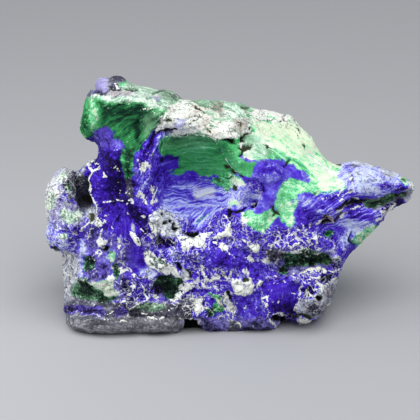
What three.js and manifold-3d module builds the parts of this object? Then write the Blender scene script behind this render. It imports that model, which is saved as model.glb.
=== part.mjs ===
// A broken slice of azurite and malachite: one natural stone, 74 mm wide, that stands on a flat
// lower edge. Its front is the natural fracture, with a green lobe, a scooped hollow, a tail and
// many small lumps and pits, and its back is one flat saw cut.
//
// Millimetres, +X along the length to the tail, +Y to the saw cut, +Z up. The origin is at the
// middle of the bounding box, at the bottom.
//
// The front is laid out on a drawing board that leans back by BOARD_TILT. A point [across, up] of
// the board is where a line square to the board meets it, and the board passes through the X axis.
// The stone is the space inside OUTLINE, behind the face that frontDepth gives, and it is meshed
// with marching cubes, then cut flat at its base and its back.

import * as THREE from 'three';
import { MarchingCubes } from 'three/addons/objects/MarchingCubes.js';
import { ImprovedNoise } from 'three/addons/math/ImprovedNoise.js';
import { mergeVertices } from 'three/addons/utils/BufferGeometryUtils.js';
import Module from 'manifold-3d';

// Driving dimensions

const BOARD_TILT = THREE.MathUtils.degToRad(22.5);
const CELL = 1.5; // side of a meshing cube
const HALF_SPAN = 42; // half the side of the meshed space
const SPAN_MIDDLE_Z = 24;
const BACK_Y = 13; // the saw cut
const OVERCUT = 3; // stone beyond each flat cut before it is made
const PLANE_GAP = 0.25; // no corner is left nearer than this to a cut
const LEAST_DEPTH = 0.15; // in cells: keeps corners off the grid points, so no face is a sliver
const FLATNESS = 0.03; // corners that stand out less than this are dropped
const MOST_TRIANGLES = 30000;

const FOOT_Y = -12; // the face at the foot of the stone
const FOOT_UP = -4.6;
const LEAN_BACK = 0.1; // how far the face goes back for each mm up
const RIM_ROUND = 4; // how far in the face turns over at the outline
const TAIL_START = 14; // the tail thins from here to its tip
const TAIL_TAPER = 0.36;
const LEFT_START = -27; // and the left end from here
const LEFT_TAPER = 0.35;
const REAR_START_Y = 1; // behind this the sides draw in to the saw cut
const REAR_DRAW = 0.022;
const EDGE_BLEND = 2; // rounding between the face and the sides
const EDGE_GROW = 0.1; // makes up for what that rounding takes off
const FACE_SHARE = 0.8; // how much the depth behind the face counts against that inside the sides
const STEEPEST_TURN = 0.98; // keeps the rim's turn short of upright
const LUMP_FULLNESS = 0.8; // below 1, a lump is fuller than a dome
const WARP = 0.9; // how far noise shifts the edges of the forms, so that none is a clean curve
const WARP_SIZE = 6;
const WARP_LAYERS = [3.5, 9.5]; // the layers of noise that shift them across and up

// The outline on the board, anticlockwise from the foot of the left end

const OUTLINE = [
  [-32.7, -2.3], [-33.4, 0.9], [-33.1, 5.6], [-34.3, 8.6], [-32.3, 11.3], // left foot
  [-35.5, 12], [-36.2, 15.2], [-35.3, 18.1], [-36.2, 21.6], [-35.9, 25.5], [-34.1, 28], // boulder
  [-32, 29.2], [-30.6, 27.4], [-29.6, 28], [-27.9, 28.3], [-25.4, 29.1], // gap beside the column
  [-24.7, 32.1], [-26.7, 35.1], [-28.8, 35.8], [-29.3, 37], [-28.4, 39.4], // left edge of the lobe
  [-28.2, 42.4], [-25.9, 43.5], [-26.2, 45.3], [-26.1, 46], [-25.1, 46.5], // nodule
  [-23.9, 46], [-22.6, 47.4], [-21.4, 46.7], // dark nodule
  [-19.1, 45.1], [-15.1, 44.1], [-12, 44.5], [-9.3, 44.4], [-9.3, 41.9], // crust of the lobe
  [-5.1, 42.9], [-1.5, 42.5], [2.6, 42.4], [6.3, 41.9], [9.2, 41.6], [12.4, 42.1], // crest
  [14.5, 39.9], [15.9, 38], [17.4, 36.3], [18.5, 34.2], [19.5, 32.7], [20, 30.8], // bright slope
  [20.8, 29.7], [23.4, 29.8], [26, 30.9], [28.6, 29.4], [31.6, 28.7], [33.9, 26.9], // top of tail
  [36.7, 25.9], [37.2, 23.9], [34.8, 21.8], [31.6, 19.3], [28.7, 16.8], [24.4, 12.8], // under it
  [21.5, 9.3], [20.9, 6.7], [20.7, 4.2], [19.9, 2], [18.1, -0.1], [15.7, -2], // right knob
  [10.7, -0.9], [9.1, -3.5], [3.9, -4.7], [-5.1, -5], [-10.6, -4.6], [-28.1, -4.5], // foot
  [-32.6, -3.3],
];

// The line along the board where the face turns over into the top of the stone, and how steeply
// the top runs back from there

const RIM_LINE = [
  [-40, 20], [-35, 24], [-32, 25.5], [-30, 38.5], [-27, 40.6], [-21, 41], [-17, 40.4], [-14.5, 38.6],
  [-11, 36.8], [-6, 36], [-2, 34.6], [1.5, 33.4], [4, 30], [7, 26.5], [11, 24], [16, 22.3],
  [20, 22], [24, 23.4], [30, 24.3], [40, 24.6],
];
const TOP_SLOPE = [[-40, 1.1], [-20, 1.5], [-8, 1.9], [2, 1.5], [10, 1.15], [20, 1.3], [40, 1.1]];

// Hollows and ledges of the face: a closed line on the board, how deep it goes (ledges, which
// stand out, are negative), and how far in from the line it reaches that depth. A calm one is
// smooth inside, where the rest of the face is rough.

const FORMS = [
  { name: 'scoop', deep: 9, slope: 8.5, calm: true, line: [
    [-13.8, 33], [-12.4, 35.6], [-9, 36.6], [-5, 35.8], [-1.6, 33.8], [0.6, 31.4], [1.6, 28],
    [1.8, 23.5], [-0.4, 19.2], [-4, 15.4], [-8.5, 14.3], [-12.8, 16.6], [-15.2, 21], [-15.4, 27]] },
  { name: 'face of the lobe', deep: 2.2, slope: 4, calm: true, line: [
    [-28.6, 40], [-21.1, 40.6], [-16.4, 39.9], [-14.6, 37.6], [-16, 33.4], [-19.5, 30.8],
    [-24, 32], [-27.6, 34.4], [-29, 37]] },
  { name: 'cavity beside the column', deep: 5, slope: 2, line: [
    [-31.2, 27.2], [-28.6, 27.4], [-27.3, 24.6], [-26.9, 20.6], [-28.3, 18.8], [-30.2, 19.6],
    [-31.4, 22.8]] },
  { name: 'column', deep: -1.8, slope: 3, line: [
    [-27, 32.4], [-22.6, 31.6], [-21, 26], [-19.8, 20], [-16.4, 14.6], [-17.6, 10], [-22, 10],
    [-25.2, 14], [-26.6, 20], [-27, 26]] },
  { name: 'lower rim of the scoop', deep: -1.2, slope: 2.6, line: [
    [-16, 18.6], [-12, 15.4], [-6, 13.6], [0.4, 14.4], [3, 17.4], [7, 17], [6.4, 13.6],
    [1, 11.4], [-6, 10.4], [-13, 12.2], [-17, 15.4]] },
  { name: 'undercut of the left boulder', deep: 3.5, slope: 1.6, line: [
    [-36.4, 12.8], [-33, 12.9], [-30.6, 11.2], [-32.4, 9.6], [-36, 10.4]] },
  { name: 'step at the left foot', deep: 2.6, slope: 2, line: [
    [-35.5, 10.8], [-30.3, 10.8], [-29.6, 6], [-30.8, 0.8], [-35, 0.4], [-36, 6]] },
  { name: 'green pocket', deep: 2, slope: 2, line: [
    [-31, 5.4], [-26, 4.8], [-21.6, 3], [-22.6, 1.2], [-27, 1.2], [-31, 2.6]] },
  { name: 'rolled foot', deep: -2, slope: 2.4, line: [
    [-33.6, -0.4], [-27, 0.6], [-18, -0.4], [-10, -1.8], [-9.2, -6], [-34, -6]] },
  { name: 'notch of the foot', deep: 3.5, slope: 1.6, line: [
    [-9.4, -1.6], [-7.6, -1], [-5.2, -2.4], [-4.6, -6], [-9.8, -6]] },
  { name: 'pocket in the middle', deep: 2.4, slope: 1.3, line: [
    [-15.4, 14.2], [-12.4, 14.2], [-11.8, 12.4], [-14.4, 11.8]] },
  { name: 'pocket of green crystals', deep: 3, slope: 1.8, line: [
    [7, 12], [13.9, 12], [18.4, 11.4], [20, 10], [15.6, 8.2], [10.4, 6.8], [8, 7.4], [6.6, 9.6]] },
  { name: 'long pocket of the tail', deep: 3.2, slope: 1.6, line: [
    [23.6, 22.6], [27, 24], [33, 24.4], [37.2, 24.6], [36, 22], [32, 20.4], [27, 20], [24, 20.8]] },
  { name: 'step under the tail', deep: 1.8, slope: 2, line: [
    [15.6, 18.4], [20, 20], [26, 18], [29, 15.4], [25, 12], [21, 14], [17, 15.4]] },
  { name: 'pits of the rim', deep: 2.4, slope: 1.2, line: [
    [-0.6, 34.4], [1.9, 34.4], [4.2, 34.8], [4, 32.6], [2.4, 31.8], [0.6, 32.6]] },
  { name: 'step beside the knob', deep: 1.6, slope: 1.6, line: [
    [12.6, 6.6], [15, 6.8], [14, 3.4], [13, 0.4], [11.6, -2.6], [8.6, -2.6], [10.4, 1], [11.8, 4]] },
  { name: 'ledge of the rind', deep: -1.5, slope: 1.2, line: [
    [-14.6, 37.4], [-13, 39.8], [-8.6, 40.4], [-6, 38], [-9, 36.9], [-12, 36.4]] },
  { name: 'gap under the ledge', deep: 1.8, slope: 0.9, line: [
    [-15.6, 35.4], [-13.6, 36.6], [-10.4, 36.6], [-12.6, 34.8]] },
  { name: 'step of the rind', deep: 1.4, slope: 1.2, line: [
    [6.4, 38], [9.6, 38.6], [14, 35.4], [17.4, 31.4], [15.6, 30], [12, 33.2], [9, 35.8]] },
  { name: 'fold under the rim', deep: 1.6, slope: 1.4, line: [
    [-10.4, 15.4], [-6, 14.4], [-6.4, 12.9], [-10.6, 13.6]] },
  { name: 'groove below the arch', deep: 1.8, slope: 1.3, line: [
    [1.4, 21], [4.6, 20.4], [5.6, 21.8], [8, 24], [5.2, 24.6], [2.4, 23]] },
  { name: 'groove of the green slope', deep: 1.3, slope: 1.2, line: [
    [9, 24.6], [12.6, 27.4], [16.4, 26.8], [16, 25], [12.6, 23.6], [10, 22.6]] },
  { name: 'shelf of white veins', deep: -1.3, slope: 1.4, line: [
    [-16.6, 12.6], [-12.4, 11.8], [-9.6, 8.4], [-10.6, 6.6], [-14.4, 9.4], [-17.4, 10.6]] },
  { name: 'cleft of the middle', deep: 1.8, slope: 1.1, line: [
    [-11.8, 9.4], [-9.6, 7.4], [-7.6, 6.4], [-8.4, 5.4], [-10.8, 6.4], [-12.4, 8.2]] },
  { name: 'hollow over the foot', deep: 2, slope: 1.6, line: [
    [-18.4, 3.6], [-14, 5.8], [-9.8, 6.2], [-9.6, 3.4], [-13.4, 1.6], [-17.6, 1.4]] },
  { name: 'slot of the foot', deep: 1.8, slope: 0.9, line: [
    [-1, 3.6], [0.4, 3.4], [0.6, 0.8], [-0.6, 0.6]] },
];

// Lumps of the face: the middle on the board, the half sizes across and up, and the height

const LUMPS = [
  { name: 'left boulder', at: [-33.4, 20], half: [4.6, 9], high: 2.8 },
  { name: 'boulder bulb', at: [-34.4, 24.4], half: [2.2, 2.4], high: 1.4 },
  { name: 'boulder heel', at: [-33.6, 14.6], half: [2.6, 2], high: 1.3 },
  { name: 'nodule', at: [-25.3, 45], half: [1.9, 1.9], high: 3.4 },
  { name: 'dark nodule', at: [-22.5, 46], half: [1.7, 1.3], high: 2.2 },
  { name: 'knob of the lobe', at: [-27.8, 43], half: [1.1, 1], high: 1.4 },
  { name: 'purple nodule', at: [-28.4, 28.2], half: [1.1, 1.2], high: 1.4 },
  { name: 'blue flow of the lobe', at: [-22.6, 34.2], half: [3.4, 2], high: 1.3 },
  { name: 'column head', at: [-24.4, 28.4], half: [2.4, 3], high: 1.2 },
  { name: 'ridge of the rim', at: [1.6, 27], half: [2, 7], high: 1.8 },
  { name: 'arch of the rim', at: [7, 29], half: [3, 2.8], high: 2 },
  { name: 'arch foot', at: [8, 23], half: [1.8, 3], high: 1.4 },
  { name: 'lens', at: [4, 17], half: [2.8, 2.4], high: 1.5 },
  { name: 'white vein boss', at: [-15.4, 19], half: [2.4, 2.2], high: 1.3 },
  { name: 'cream boss', at: [-8, 12.6], half: [2.6, 1.6], high: 1.3 },
  { name: 'middle boss', at: [-2, 10], half: [5, 2.6], high: 1.5 },
  { name: 'starburst', at: [1.6, 5.2], half: [3, 2.6], high: 1.3 },
  { name: 'blue boss', at: [9.4, 3.4], half: [3.6, 3.4], high: 1.6 },
  { name: 'boss of the foot', at: [-23.4, 7.6], half: [3.6, 2.6], high: 1.2 },
  { name: 'crest over the pocket', at: [14, 14], half: [5.4, 1.4], high: 1.2 },
  { name: 'lip under the pocket', at: [15, 6.6], half: [5, 1.3], high: 1.3 },
  { name: 'right knob', at: [17.2, 2.4], half: [4, 4.4], high: 3 },
  { name: 'blue flow of the tail', at: [20, 19.4], half: [4, 2.4], high: 1.3 },
  { name: 'tail ridge', at: [27, 27.6], half: [5, 1.8], high: 1.8 },
  { name: 'tail hump', at: [32, 27.4], half: [2, 1.5], high: 1.3 },
];

// Noise in the stone: the size of its waves, and their height on the face and behind it. A
// creased wave has sharp crests, as broken stone has.

const WAVES = [
  { size: 13, onFace: 0.5, behind: 2.2, creased: false },
  { size: 7, onFace: 0.8, behind: 1.3, creased: true },
  { size: 3.6, onFace: 0.75, behind: 0.6, creased: true },
];
const CALM_SHARE = 0.2; // how much of the noise a calm form keeps
const CREASE_MIDDLE = 0.42; // the mean height of a creased wave, taken off it
const NOISE_START = 7; // where in the noise the stone's middle lies

const stoneMaterial = new THREE.MeshStandardMaterial({
  color: 0x4a3fb4,
  roughness: 0.62,
  metalness: 0,
});

const noise = new ImprovedNoise();
const smooth = THREE.MathUtils.smoothstep;
const clamp = THREE.MathUtils.clamp;

/** The distance from [across, up] to a closed line: positive inside it. */
function depthInside(line, across, up) {
  let nearest = Infinity;
  let inside = false;
  for (let i = 0, j = line.length - 1; i < line.length; j = i, i += 1) {
    const [ax, ay] = line[i];
    const [bx, by] = line[j];
    const dx = bx - ax;
    const dy = by - ay;
    const along = clamp(((across - ax) * dx + (up - ay) * dy) / (dx * dx + dy * dy), 0, 1);
    nearest = Math.min(nearest, Math.hypot(across - ax - along * dx, up - ay - along * dy));
    if ((ay > up) !== (by > up) && across < (dx * (up - ay)) / dy + ax) inside = !inside;
  }
  return inside ? nearest : -nearest;
}

/** The height of a line of [x, y] points at x, with straight stretches between them. */
function heightAt(points, x) {
  let i = 1;
  while (i < points.length - 1 && points[i][0] < x) i += 1;
  const [ax, ay] = points[i - 1];
  const [bx, by] = points[i];
  return THREE.MathUtils.lerp(ay, by, clamp((x - ax) / (bx - ax), 0, 1));
}

/** A closed line through a few points, with round stretches between them. */
function roundLine(points, steps) {
  const corners = points.map(([x, y]) => new THREE.Vector3(x, y, 0));
  const curve = new THREE.CatmullRomCurve3(corners, true, 'centripetal');
  return curve.getPoints(steps).slice(0, -1).map((point) => [point.x, point.y]);
}

const outline = roundLine(OUTLINE, 220);
for (const form of FORMS) form.edge = roundLine(form.line, form.line.length * 3);

/** The smaller of two numbers, rounded where they are within reach of each other. */
function roundedMin(a, b, reach) {
  const near = Math.max(reach - Math.abs(a - b), 0) / reach;
  return Math.min(a, b) - (near * near * reach) / 4;
}

/** The front face at a point of the board this far inside the outline: its y, and how calm it is. */
function frontFace(acrossBoard, upBoard, insideOutline) {
  const [acrossLayer, upLayer] = WARP_LAYERS;
  const shiftAcross = WARP * noise.noise(acrossBoard / WARP_SIZE, upBoard / WARP_SIZE, acrossLayer);
  const shiftUp = WARP * noise.noise(acrossBoard / WARP_SIZE, upBoard / WARP_SIZE, upLayer);
  const across = acrossBoard + shiftAcross;
  const up = upBoard + shiftUp;
  let calm = 0;
  let y = FOOT_Y + LEAN_BACK * (up - FOOT_UP);
  y += TAIL_TAPER * Math.max(across - TAIL_START, 0);
  y += LEFT_TAPER * Math.max(LEFT_START - across, 0);
  const turn = 1 - clamp(insideOutline / RIM_ROUND, 0, 1);
  y += RIM_ROUND * (1 - Math.sqrt(1 - Math.min(turn * turn, STEEPEST_TURN)));
  const above = Math.max(up - heightAt(RIM_LINE, across), 0);
  y += heightAt(TOP_SLOPE, across) * (above - 1 + Math.exp(-above));
  for (const form of FORMS) {
    const reached = clamp(depthInside(form.edge, across, up) / form.slope, 0, 1);
    y += form.deep * reached * (2 - reached);
    if (form.calm) calm = Math.max(calm, Math.min(reached * 4, 1));
  }
  for (const lump of LUMPS) {
    const away = Math.hypot((across - lump.at[0]) / lump.half[0], (up - lump.at[1]) / lump.half[1]);
    y -= lump.high * Math.pow(Math.max(1 - away * away, 0), LUMP_FULLNESS);
  }
  return { y, calm };
}

/** How far a point is inside the stone before its flat cuts, negative outside. */
function insideStone(x, y, z) {
  const up = z * Math.cos(BOARD_TILT) + y * Math.sin(BOARD_TILT);
  const behindFront = Math.max(y - REAR_START_Y, 0);
  const insideOutline = depthInside(outline, x, up);
  const beyondCuts = Math.min(BACK_Y + OVERCUT - y, z + OVERCUT);
  if (insideOutline < -2 * OVERCUT) return Math.min(insideOutline, beyondCuts);
  const side = insideOutline + EDGE_GROW - REAR_DRAW * behindFront * behindFront;
  const front = frontFace(x, up, insideOutline);
  const face = (y - front.y) * FACE_SHARE;
  const behind = smooth(face, 1, 8);
  let inside = roundedMin(side, face, EDGE_BLEND);
  for (const wave of WAVES) {
    const onFace = wave.onFace * THREE.MathUtils.lerp(1, CALM_SHARE, front.calm);
    const height = THREE.MathUtils.lerp(onFace, wave.behind, behind);
    const at = [x, y, z].map((value) => value / wave.size + NOISE_START);
    const level = noise.noise(...at);
    inside += height * (wave.creased ? CREASE_MIDDLE - 2 * Math.abs(level) : level);
  }
  return Math.min(inside, beyondCuts);
}

/** The stone before its flat cuts, as a closed mesh whose shared corners are merged. */
function meshStone() {
  const steps = Math.round((2 * HALF_SPAN) / CELL);
  const cubes = new MarchingCubes(steps, stoneMaterial, false, false, MOST_TRIANGLES);
  cubes.isolation = 0;
  const place = (step) => (step - steps / 2) * CELL;
  const leastDepth = LEAST_DEPTH * CELL;
  for (let k = 0; k < steps; k += 1) {
    for (let j = 0; j < steps; j += 1) {
      for (let i = 0; i < steps; i += 1) {
        const inside = insideStone(place(i), place(j), place(k) + SPAN_MIDDLE_Z);
        const clear = Math.sign(inside || 1) * Math.max(Math.abs(inside), leastDepth);
        cubes.field[i + steps * (j + steps * k)] = clear;
      }
    }
  }
  cubes.update();
  const corners = cubes.positionArray.slice(0, cubes.count * 3);
  const geometry = new THREE.BufferGeometry();
  geometry.setAttribute('position', new THREE.BufferAttribute(corners, 3));
  const merged = mergeVertices(geometry, 1e-5);
  merged.scale(HALF_SPAN, HALF_SPAN, HALF_SPAN);
  merged.translate(0, 0, SPAN_MIDDLE_Z);
  return merged;
}

/** Evens out the triangles by moving each corner towards the middle of its neighbours. */
function evenOut(geometry, rounds, share) {
  const corners = geometry.attributes.position;
  const faces = geometry.index.array;
  const neighbours = Array.from({ length: corners.count }, () => new Set());
  for (let i = 0; i < faces.length; i += 3) {
    for (let j = 0; j < 3; j += 1) {
      neighbours[faces[i + j]].add(faces[i + ((j + 1) % 3)]);
      neighbours[faces[i + ((j + 1) % 3)]].add(faces[i + j]);
    }
  }
  for (let round = 0; round < rounds; round += 1) {
    const before = corners.clone();
    const middle = new THREE.Vector3();
    const corner = new THREE.Vector3();
    neighbours.forEach((near, index) => {
      middle.set(0, 0, 0);
      for (const other of near) middle.add(corner.fromBufferAttribute(before, other));
      middle.divideScalar(near.size);
      corner.fromBufferAttribute(before, index).lerp(middle, share);
      corners.setXYZ(index, corner.x, corner.y, corner.z);
    });
  }
}

/** Moves corners that lie almost on a flat cut a little away from it. */
function clearCuts(geometry) {
  const corners = geometry.attributes.position;
  for (let i = 0; i < corners.count; i += 1) {
    const behindCut = corners.getY(i) - BACK_Y;
    const belowCut = -corners.getZ(i);
    if (Math.abs(behindCut) < PLANE_GAP) corners.setY(i, BACK_Y + PLANE_GAP * Math.sign(behindCut || 1));
    if (Math.abs(belowCut) < PLANE_GAP) corners.setZ(i, -PLANE_GAP * Math.sign(belowCut || 1));
  }
}

const wasm = await Module();
wasm.setup();

/** A manifold-3d solid from a closed geometry. */
function toSolid(geometry) {
  const plain = geometry.clone();
  plain.deleteAttribute('normal');
  plain.deleteAttribute('uv');
  const merged = mergeVertices(plain, 1e-5);
  return new wasm.Manifold(new wasm.Mesh({
    numProp: 3,
    vertProperties: Float32Array.from(merged.attributes.position.array),
    triVerts: Uint32Array.from(merged.index.array),
  }));
}

/** A geometry from a manifold-3d solid. */
function toGeometry(solid) {
  const mesh = solid.getMesh();
  const geometry = new THREE.BufferGeometry();
  geometry.setAttribute('position', new THREE.BufferAttribute(mesh.vertProperties, 3));
  geometry.setIndex(new THREE.BufferAttribute(mesh.triVerts, 1));
  return geometry;
}

/** The stone with its flat base and its sawn back, with the origin at the middle of its base. */
function makeStone() {
  const rough = meshStone();
  evenOut(rough, 2, 0.3);
  clearCuts(rough);
  const size = 4 * HALF_SPAN;
  const below = new THREE.BoxGeometry(size, size, size).translate(0, 0, -size / 2);
  const behind = new THREE.BoxGeometry(size, size, size).translate(0, BACK_Y + size / 2, 0);
  const solid = toSolid(rough).subtract(toSolid(below)).subtract(toSolid(behind));
  const geometry = toGeometry(solid.simplify(FLATNESS));
  geometry.computeBoundingBox();
  const middle = geometry.boundingBox.getCenter(new THREE.Vector3());
  geometry.translate(-middle.x, -middle.y, 0);
  geometry.computeVertexNormals();
  return geometry;
}

const stone = new THREE.Mesh(makeStone(), stoneMaterial);
stone.name = 'stone';

const slice = new THREE.Group();
slice.add(stone);

export default slice;
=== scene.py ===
"""A broken slice of azurite and malachite, dressed around its solid, on a plain floor."""

import math

import bpy
import numpy as np
from bpy.props import FloatProperty, FloatVectorProperty, IntProperty, PointerProperty
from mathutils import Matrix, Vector


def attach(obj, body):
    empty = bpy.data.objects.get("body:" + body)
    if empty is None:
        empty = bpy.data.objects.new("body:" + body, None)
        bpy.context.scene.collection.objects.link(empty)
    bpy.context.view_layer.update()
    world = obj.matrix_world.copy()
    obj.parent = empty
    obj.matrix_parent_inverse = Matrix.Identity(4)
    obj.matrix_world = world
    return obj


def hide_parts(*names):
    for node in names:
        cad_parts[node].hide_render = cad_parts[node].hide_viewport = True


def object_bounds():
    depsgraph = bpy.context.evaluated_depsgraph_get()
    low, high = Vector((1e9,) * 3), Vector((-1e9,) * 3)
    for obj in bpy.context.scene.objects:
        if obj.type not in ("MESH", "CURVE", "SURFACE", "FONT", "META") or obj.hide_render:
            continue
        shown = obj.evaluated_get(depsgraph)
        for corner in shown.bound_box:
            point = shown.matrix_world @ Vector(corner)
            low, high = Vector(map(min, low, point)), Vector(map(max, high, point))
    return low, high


bl_info = {
    "name": "Azurite-malachite slice",
    "version": (1, 0, 0),
    "blender": (4, 5, 0),
    "location": "View3D > Sidebar > Stone",
    "description": "Dresses a slice of azurite and malachite with its crust, pits, fibres and colours",
    "category": "Add Mesh",
}

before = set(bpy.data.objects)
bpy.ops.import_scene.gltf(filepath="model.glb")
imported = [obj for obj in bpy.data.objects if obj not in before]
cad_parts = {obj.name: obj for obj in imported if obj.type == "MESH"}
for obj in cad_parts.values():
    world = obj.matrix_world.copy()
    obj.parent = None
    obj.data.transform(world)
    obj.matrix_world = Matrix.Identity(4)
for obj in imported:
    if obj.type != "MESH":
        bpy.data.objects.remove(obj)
CAD_BOX = [list(corner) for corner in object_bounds()]
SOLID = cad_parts["stone"]
MM = 0.001
CUT_REACH = 0.2 * MM  # a place nearer than this to a flat cut belongs to it

# The drawing board. The front of the stone is drawn on a board of BOARD_SQUARES squares a side,
# each SQUARE wide, x from its left edge and y down from its top. The board stands TILT back
# from upright, and everything on it is seen from the eye, EYE_AWAY in front of it.

BOARD_SQUARES = 420
SQUARE = 0.2 * MM
TILT = math.radians(22.5)
EYE_AWAY = 0.45
BOARD_MIDDLE = Vector((-0.00394, 0.00255, 0.02115))
BOARD_UP = Vector((0, math.sin(TILT), math.cos(TILT)))
BOARD_OUT = Vector((0, -math.cos(TILT), math.sin(TILT)))
EYE = BOARD_MIDDLE + BOARD_OUT * EYE_AWAY


def on_board(points):
    """The board's x and y, in squares, of points in metres."""
    away = points - np.array(EYE)
    depth = -away @ np.array(BOARD_OUT)
    scale = EYE_AWAY / SQUARE / depth
    middle = BOARD_SQUARES / 2
    return middle + away[:, 0] * scale, middle - (away @ np.array(BOARD_UP)) * scale


# Noise, the same on each run

TABLE = np.random.default_rng(7)
SHUFFLE = TABLE.permutation(256)
ARROWS = TABLE.normal(size=(256, 3))
ARROWS /= np.linalg.norm(ARROWS, axis=1)[:, None]
SPOTS = TABLE.random((256, 3))


def lattice(cell):
    """A random number from 0 to 255 for each whole-numbered cell."""
    first = SHUFFLE[cell[:, 0] & 255]
    second = SHUFFLE[(first + cell[:, 1]) & 255]
    return SHUFFLE[(second + cell[:, 2]) & 255]


def waves(points, size, seed=0):
    """Smooth noise from about -1 to 1 whose waves are size long, at points in the same unit."""
    place = points / size + seed * 13.7
    cell = np.floor(place).astype(int)
    part = place - cell
    fade = part**3 * (part * (part * 6 - 15) + 10)
    total = np.zeros(len(points))
    for corner in np.ndindex(2, 2, 2):
        corner = np.array(corner)
        slope = np.einsum("ij,ij->i", ARROWS[lattice(cell + corner)], part - corner)
        total += slope * np.prod(np.where(corner, fade, 1 - fade), axis=1)
    return total * 1.6


def creases(points, size, seed=0):
    """Noise from -1 to 1 with sharp crests."""
    return 1 - 2 * np.abs(waves(points, size, seed))


def grains(points, size, seed=0):
    """Grains about size across: how near the middle a place is, from 0 to 1, how far it is from
    the gap to the next grain, and a number from 0 to 1 for each grain."""
    place = points / size + seed * 5.1
    cell = np.floor(place).astype(int)
    nearest = np.full(len(points), 9.0)
    second = np.full(len(points), 9.0)
    kind = np.zeros(len(points))
    for step in np.ndindex(3, 3, 3):
        other = cell + np.array(step) - 1
        number = lattice(other)
        away = np.linalg.norm(other + SPOTS[number] - place, axis=1)
        second = np.minimum(second, np.maximum(nearest, away))
        kind = np.where(away < nearest, number / 255, kind)
        nearest = np.minimum(nearest, away)
    return np.clip(1 - nearest, 0, 1), second - nearest, kind


def blend(low, high, x):
    """0 below low, 1 above high, and a smooth step between them."""
    t = np.clip((x - low) / (high - low), 0, 1)
    return t * t * (3 - 2 * t)


# Shapes on the board, from numbers that are x and y in turn. Each gives how far a place is
# inside it, in squares.


def pairs(numbers):
    """Corners from numbers that are x and y in turn."""
    return np.array(numbers, dtype=float).reshape(-1, 2)


def area(*numbers):
    """A closed outline."""
    corners = pairs(numbers)

    def inside(x, y):
        nearest = np.full(len(x), 1e9)
        within = np.zeros(len(x), dtype=bool)
        for (ax, ay), (bx, by) in zip(corners, np.roll(corners, -1, axis=0)):
            dx, dy = bx - ax, by - ay
            along = np.clip(((x - ax) * dx + (y - ay) * dy) / (dx * dx + dy * dy), 0, 1)
            nearest = np.minimum(nearest, np.hypot(x - ax - along * dx, y - ay - along * dy))
            if dy:
                within ^= ((ay > y) != (by > y)) & (x < dx * (y - ay) / dy + ax)
        return np.where(within, nearest, -nearest)

    return inside


def spot(x0, y0, across, up, turn=0):
    """An oval with these half sizes, turned clockwise by turn degrees."""
    c, s = math.cos(math.radians(turn)), math.sin(math.radians(turn))

    def inside(x, y):
        along = ((x - x0) * c + (y - y0) * s) / across
        side = ((y - y0) * c - (x - x0) * s) / up
        return (1 - np.hypot(along, side)) * min(across, up)

    return inside


def stroke(width, *numbers):
    """A line of this width through some points, thinner towards both ends."""
    points = pairs(numbers)
    lengths = np.hypot(*(points[1:] - points[:-1]).T)
    total = lengths.sum()

    def inside(x, y):
        best = np.full(len(x), -1e9)
        before = 0.0
        for (ax, ay), (bx, by), length in zip(points[:-1], points[1:], lengths):
            dx, dy = bx - ax, by - ay
            along = np.clip(((x - ax) * dx + (y - ay) * dy) / (length * length), 0, 1)
            share = (before + along * length) / total
            half = width / 2 * (0.4 + 0.6 * np.sin(np.pi * share) ** 0.5)
            best = np.maximum(best, half - np.hypot(x - ax - along * dx, y - ay - along * dy))
            before += length
        return best

    return inside


def ring(width, x0, y0, across, up):
    """The rim of an oval, this wide."""
    oval = spot(x0, y0, across, up)
    return lambda x, y: width / 2 - np.abs(oval(x, y))


# What the stone is made of, painted in this order: the mineral, how pale it is, from 0 to a little
# over 1, how softly its edge fades, in squares, and the shape. Edges fade over a little more than
# that, by FADE_MORE where they are soft and CRISP_MORE where they aren't. Cream and dark patches
# cover what lies under them by THIN_COVER, so that it shows through at ragged edges. How pale a
# patch is also holds painted shade, low on faces turned from the light and under overhangs, and
# painted light on the brightly lit slopes below the rim. Dark patches are partly the olive-black
# lining of pits and cracks and partly painted shade in them.

AZURITE, MALACHITE, CREAM, DARK_AND_SHADE, SLATE = range(5)
FADE_MORE = 1.2
CRISP_MORE = 0.3
THIN_COVER = 0.97

# The lobe's face is low in tone, partly painted shade on a face turned from the light.
LOBE = [
    (MALACHITE, 0.24, 2.5, area(70, 96, 84, 96, 100, 96, 140, 102, 163, 111, 163, 118, 152, 130, 143, 142,
        148, 152, 136, 157, 124, 150, 110, 150, 96, 150, 80, 146, 66, 130)),
    (MALACHITE, 0.17, 3, area(100, 104, 124, 103, 146, 105, 160, 111, 150, 118, 130, 113, 110, 116,
        100, 114)),
    (MALACHITE, 0.32, 4, area(100, 124, 120, 118, 142, 120, 140, 138, 118, 139, 102, 132)),
    (MALACHITE, 0.4, 3, area(112, 129, 134, 130, 142, 142, 144, 150, 132, 154, 124, 148, 116, 138)),
    (MALACHITE, 0.4, 2, area(144, 114, 160, 111, 163, 118, 152, 130, 143, 141, 140, 136, 142, 124)),
    (MALACHITE, 0.8, 4, area(86, 95, 96, 97, 101, 108, 99, 122, 96, 134, 89, 132, 86, 116)),
    (MALACHITE, 0.3, 2.5, area(74, 118, 84, 114, 89, 124, 90, 134, 84, 140, 74, 134)),
    (MALACHITE, 0.55, 2.5, area(82, 131, 90, 130, 92, 137, 84, 140)),
    (MALACHITE, 0.1, 2, stroke(3, 144, 121, 139, 129, 136.5, 135, 139, 142)),
    (MALACHITE, 0.6, 1, stroke(1.4, 138, 128, 141, 121, 148, 117)),
    (MALACHITE, 0.55, 1, stroke(1.2, 143, 131, 147, 126, 153, 122)),
    (CREAM, 0.45, 0.8, stroke(1.5, 141, 110, 147, 108.4, 153, 107.6)),
    (MALACHITE, 0.55, 1, stroke(1.2, 110, 110, 122, 106.6, 134, 106)),
    (MALACHITE, 0.5, 1, stroke(1.2, 104, 122, 120, 117, 136, 116)),
    (DARK_AND_SHADE, 0.5, 0.4, stroke(1.5, 130, 151, 133, 148, 135, 146)),
]
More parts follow.
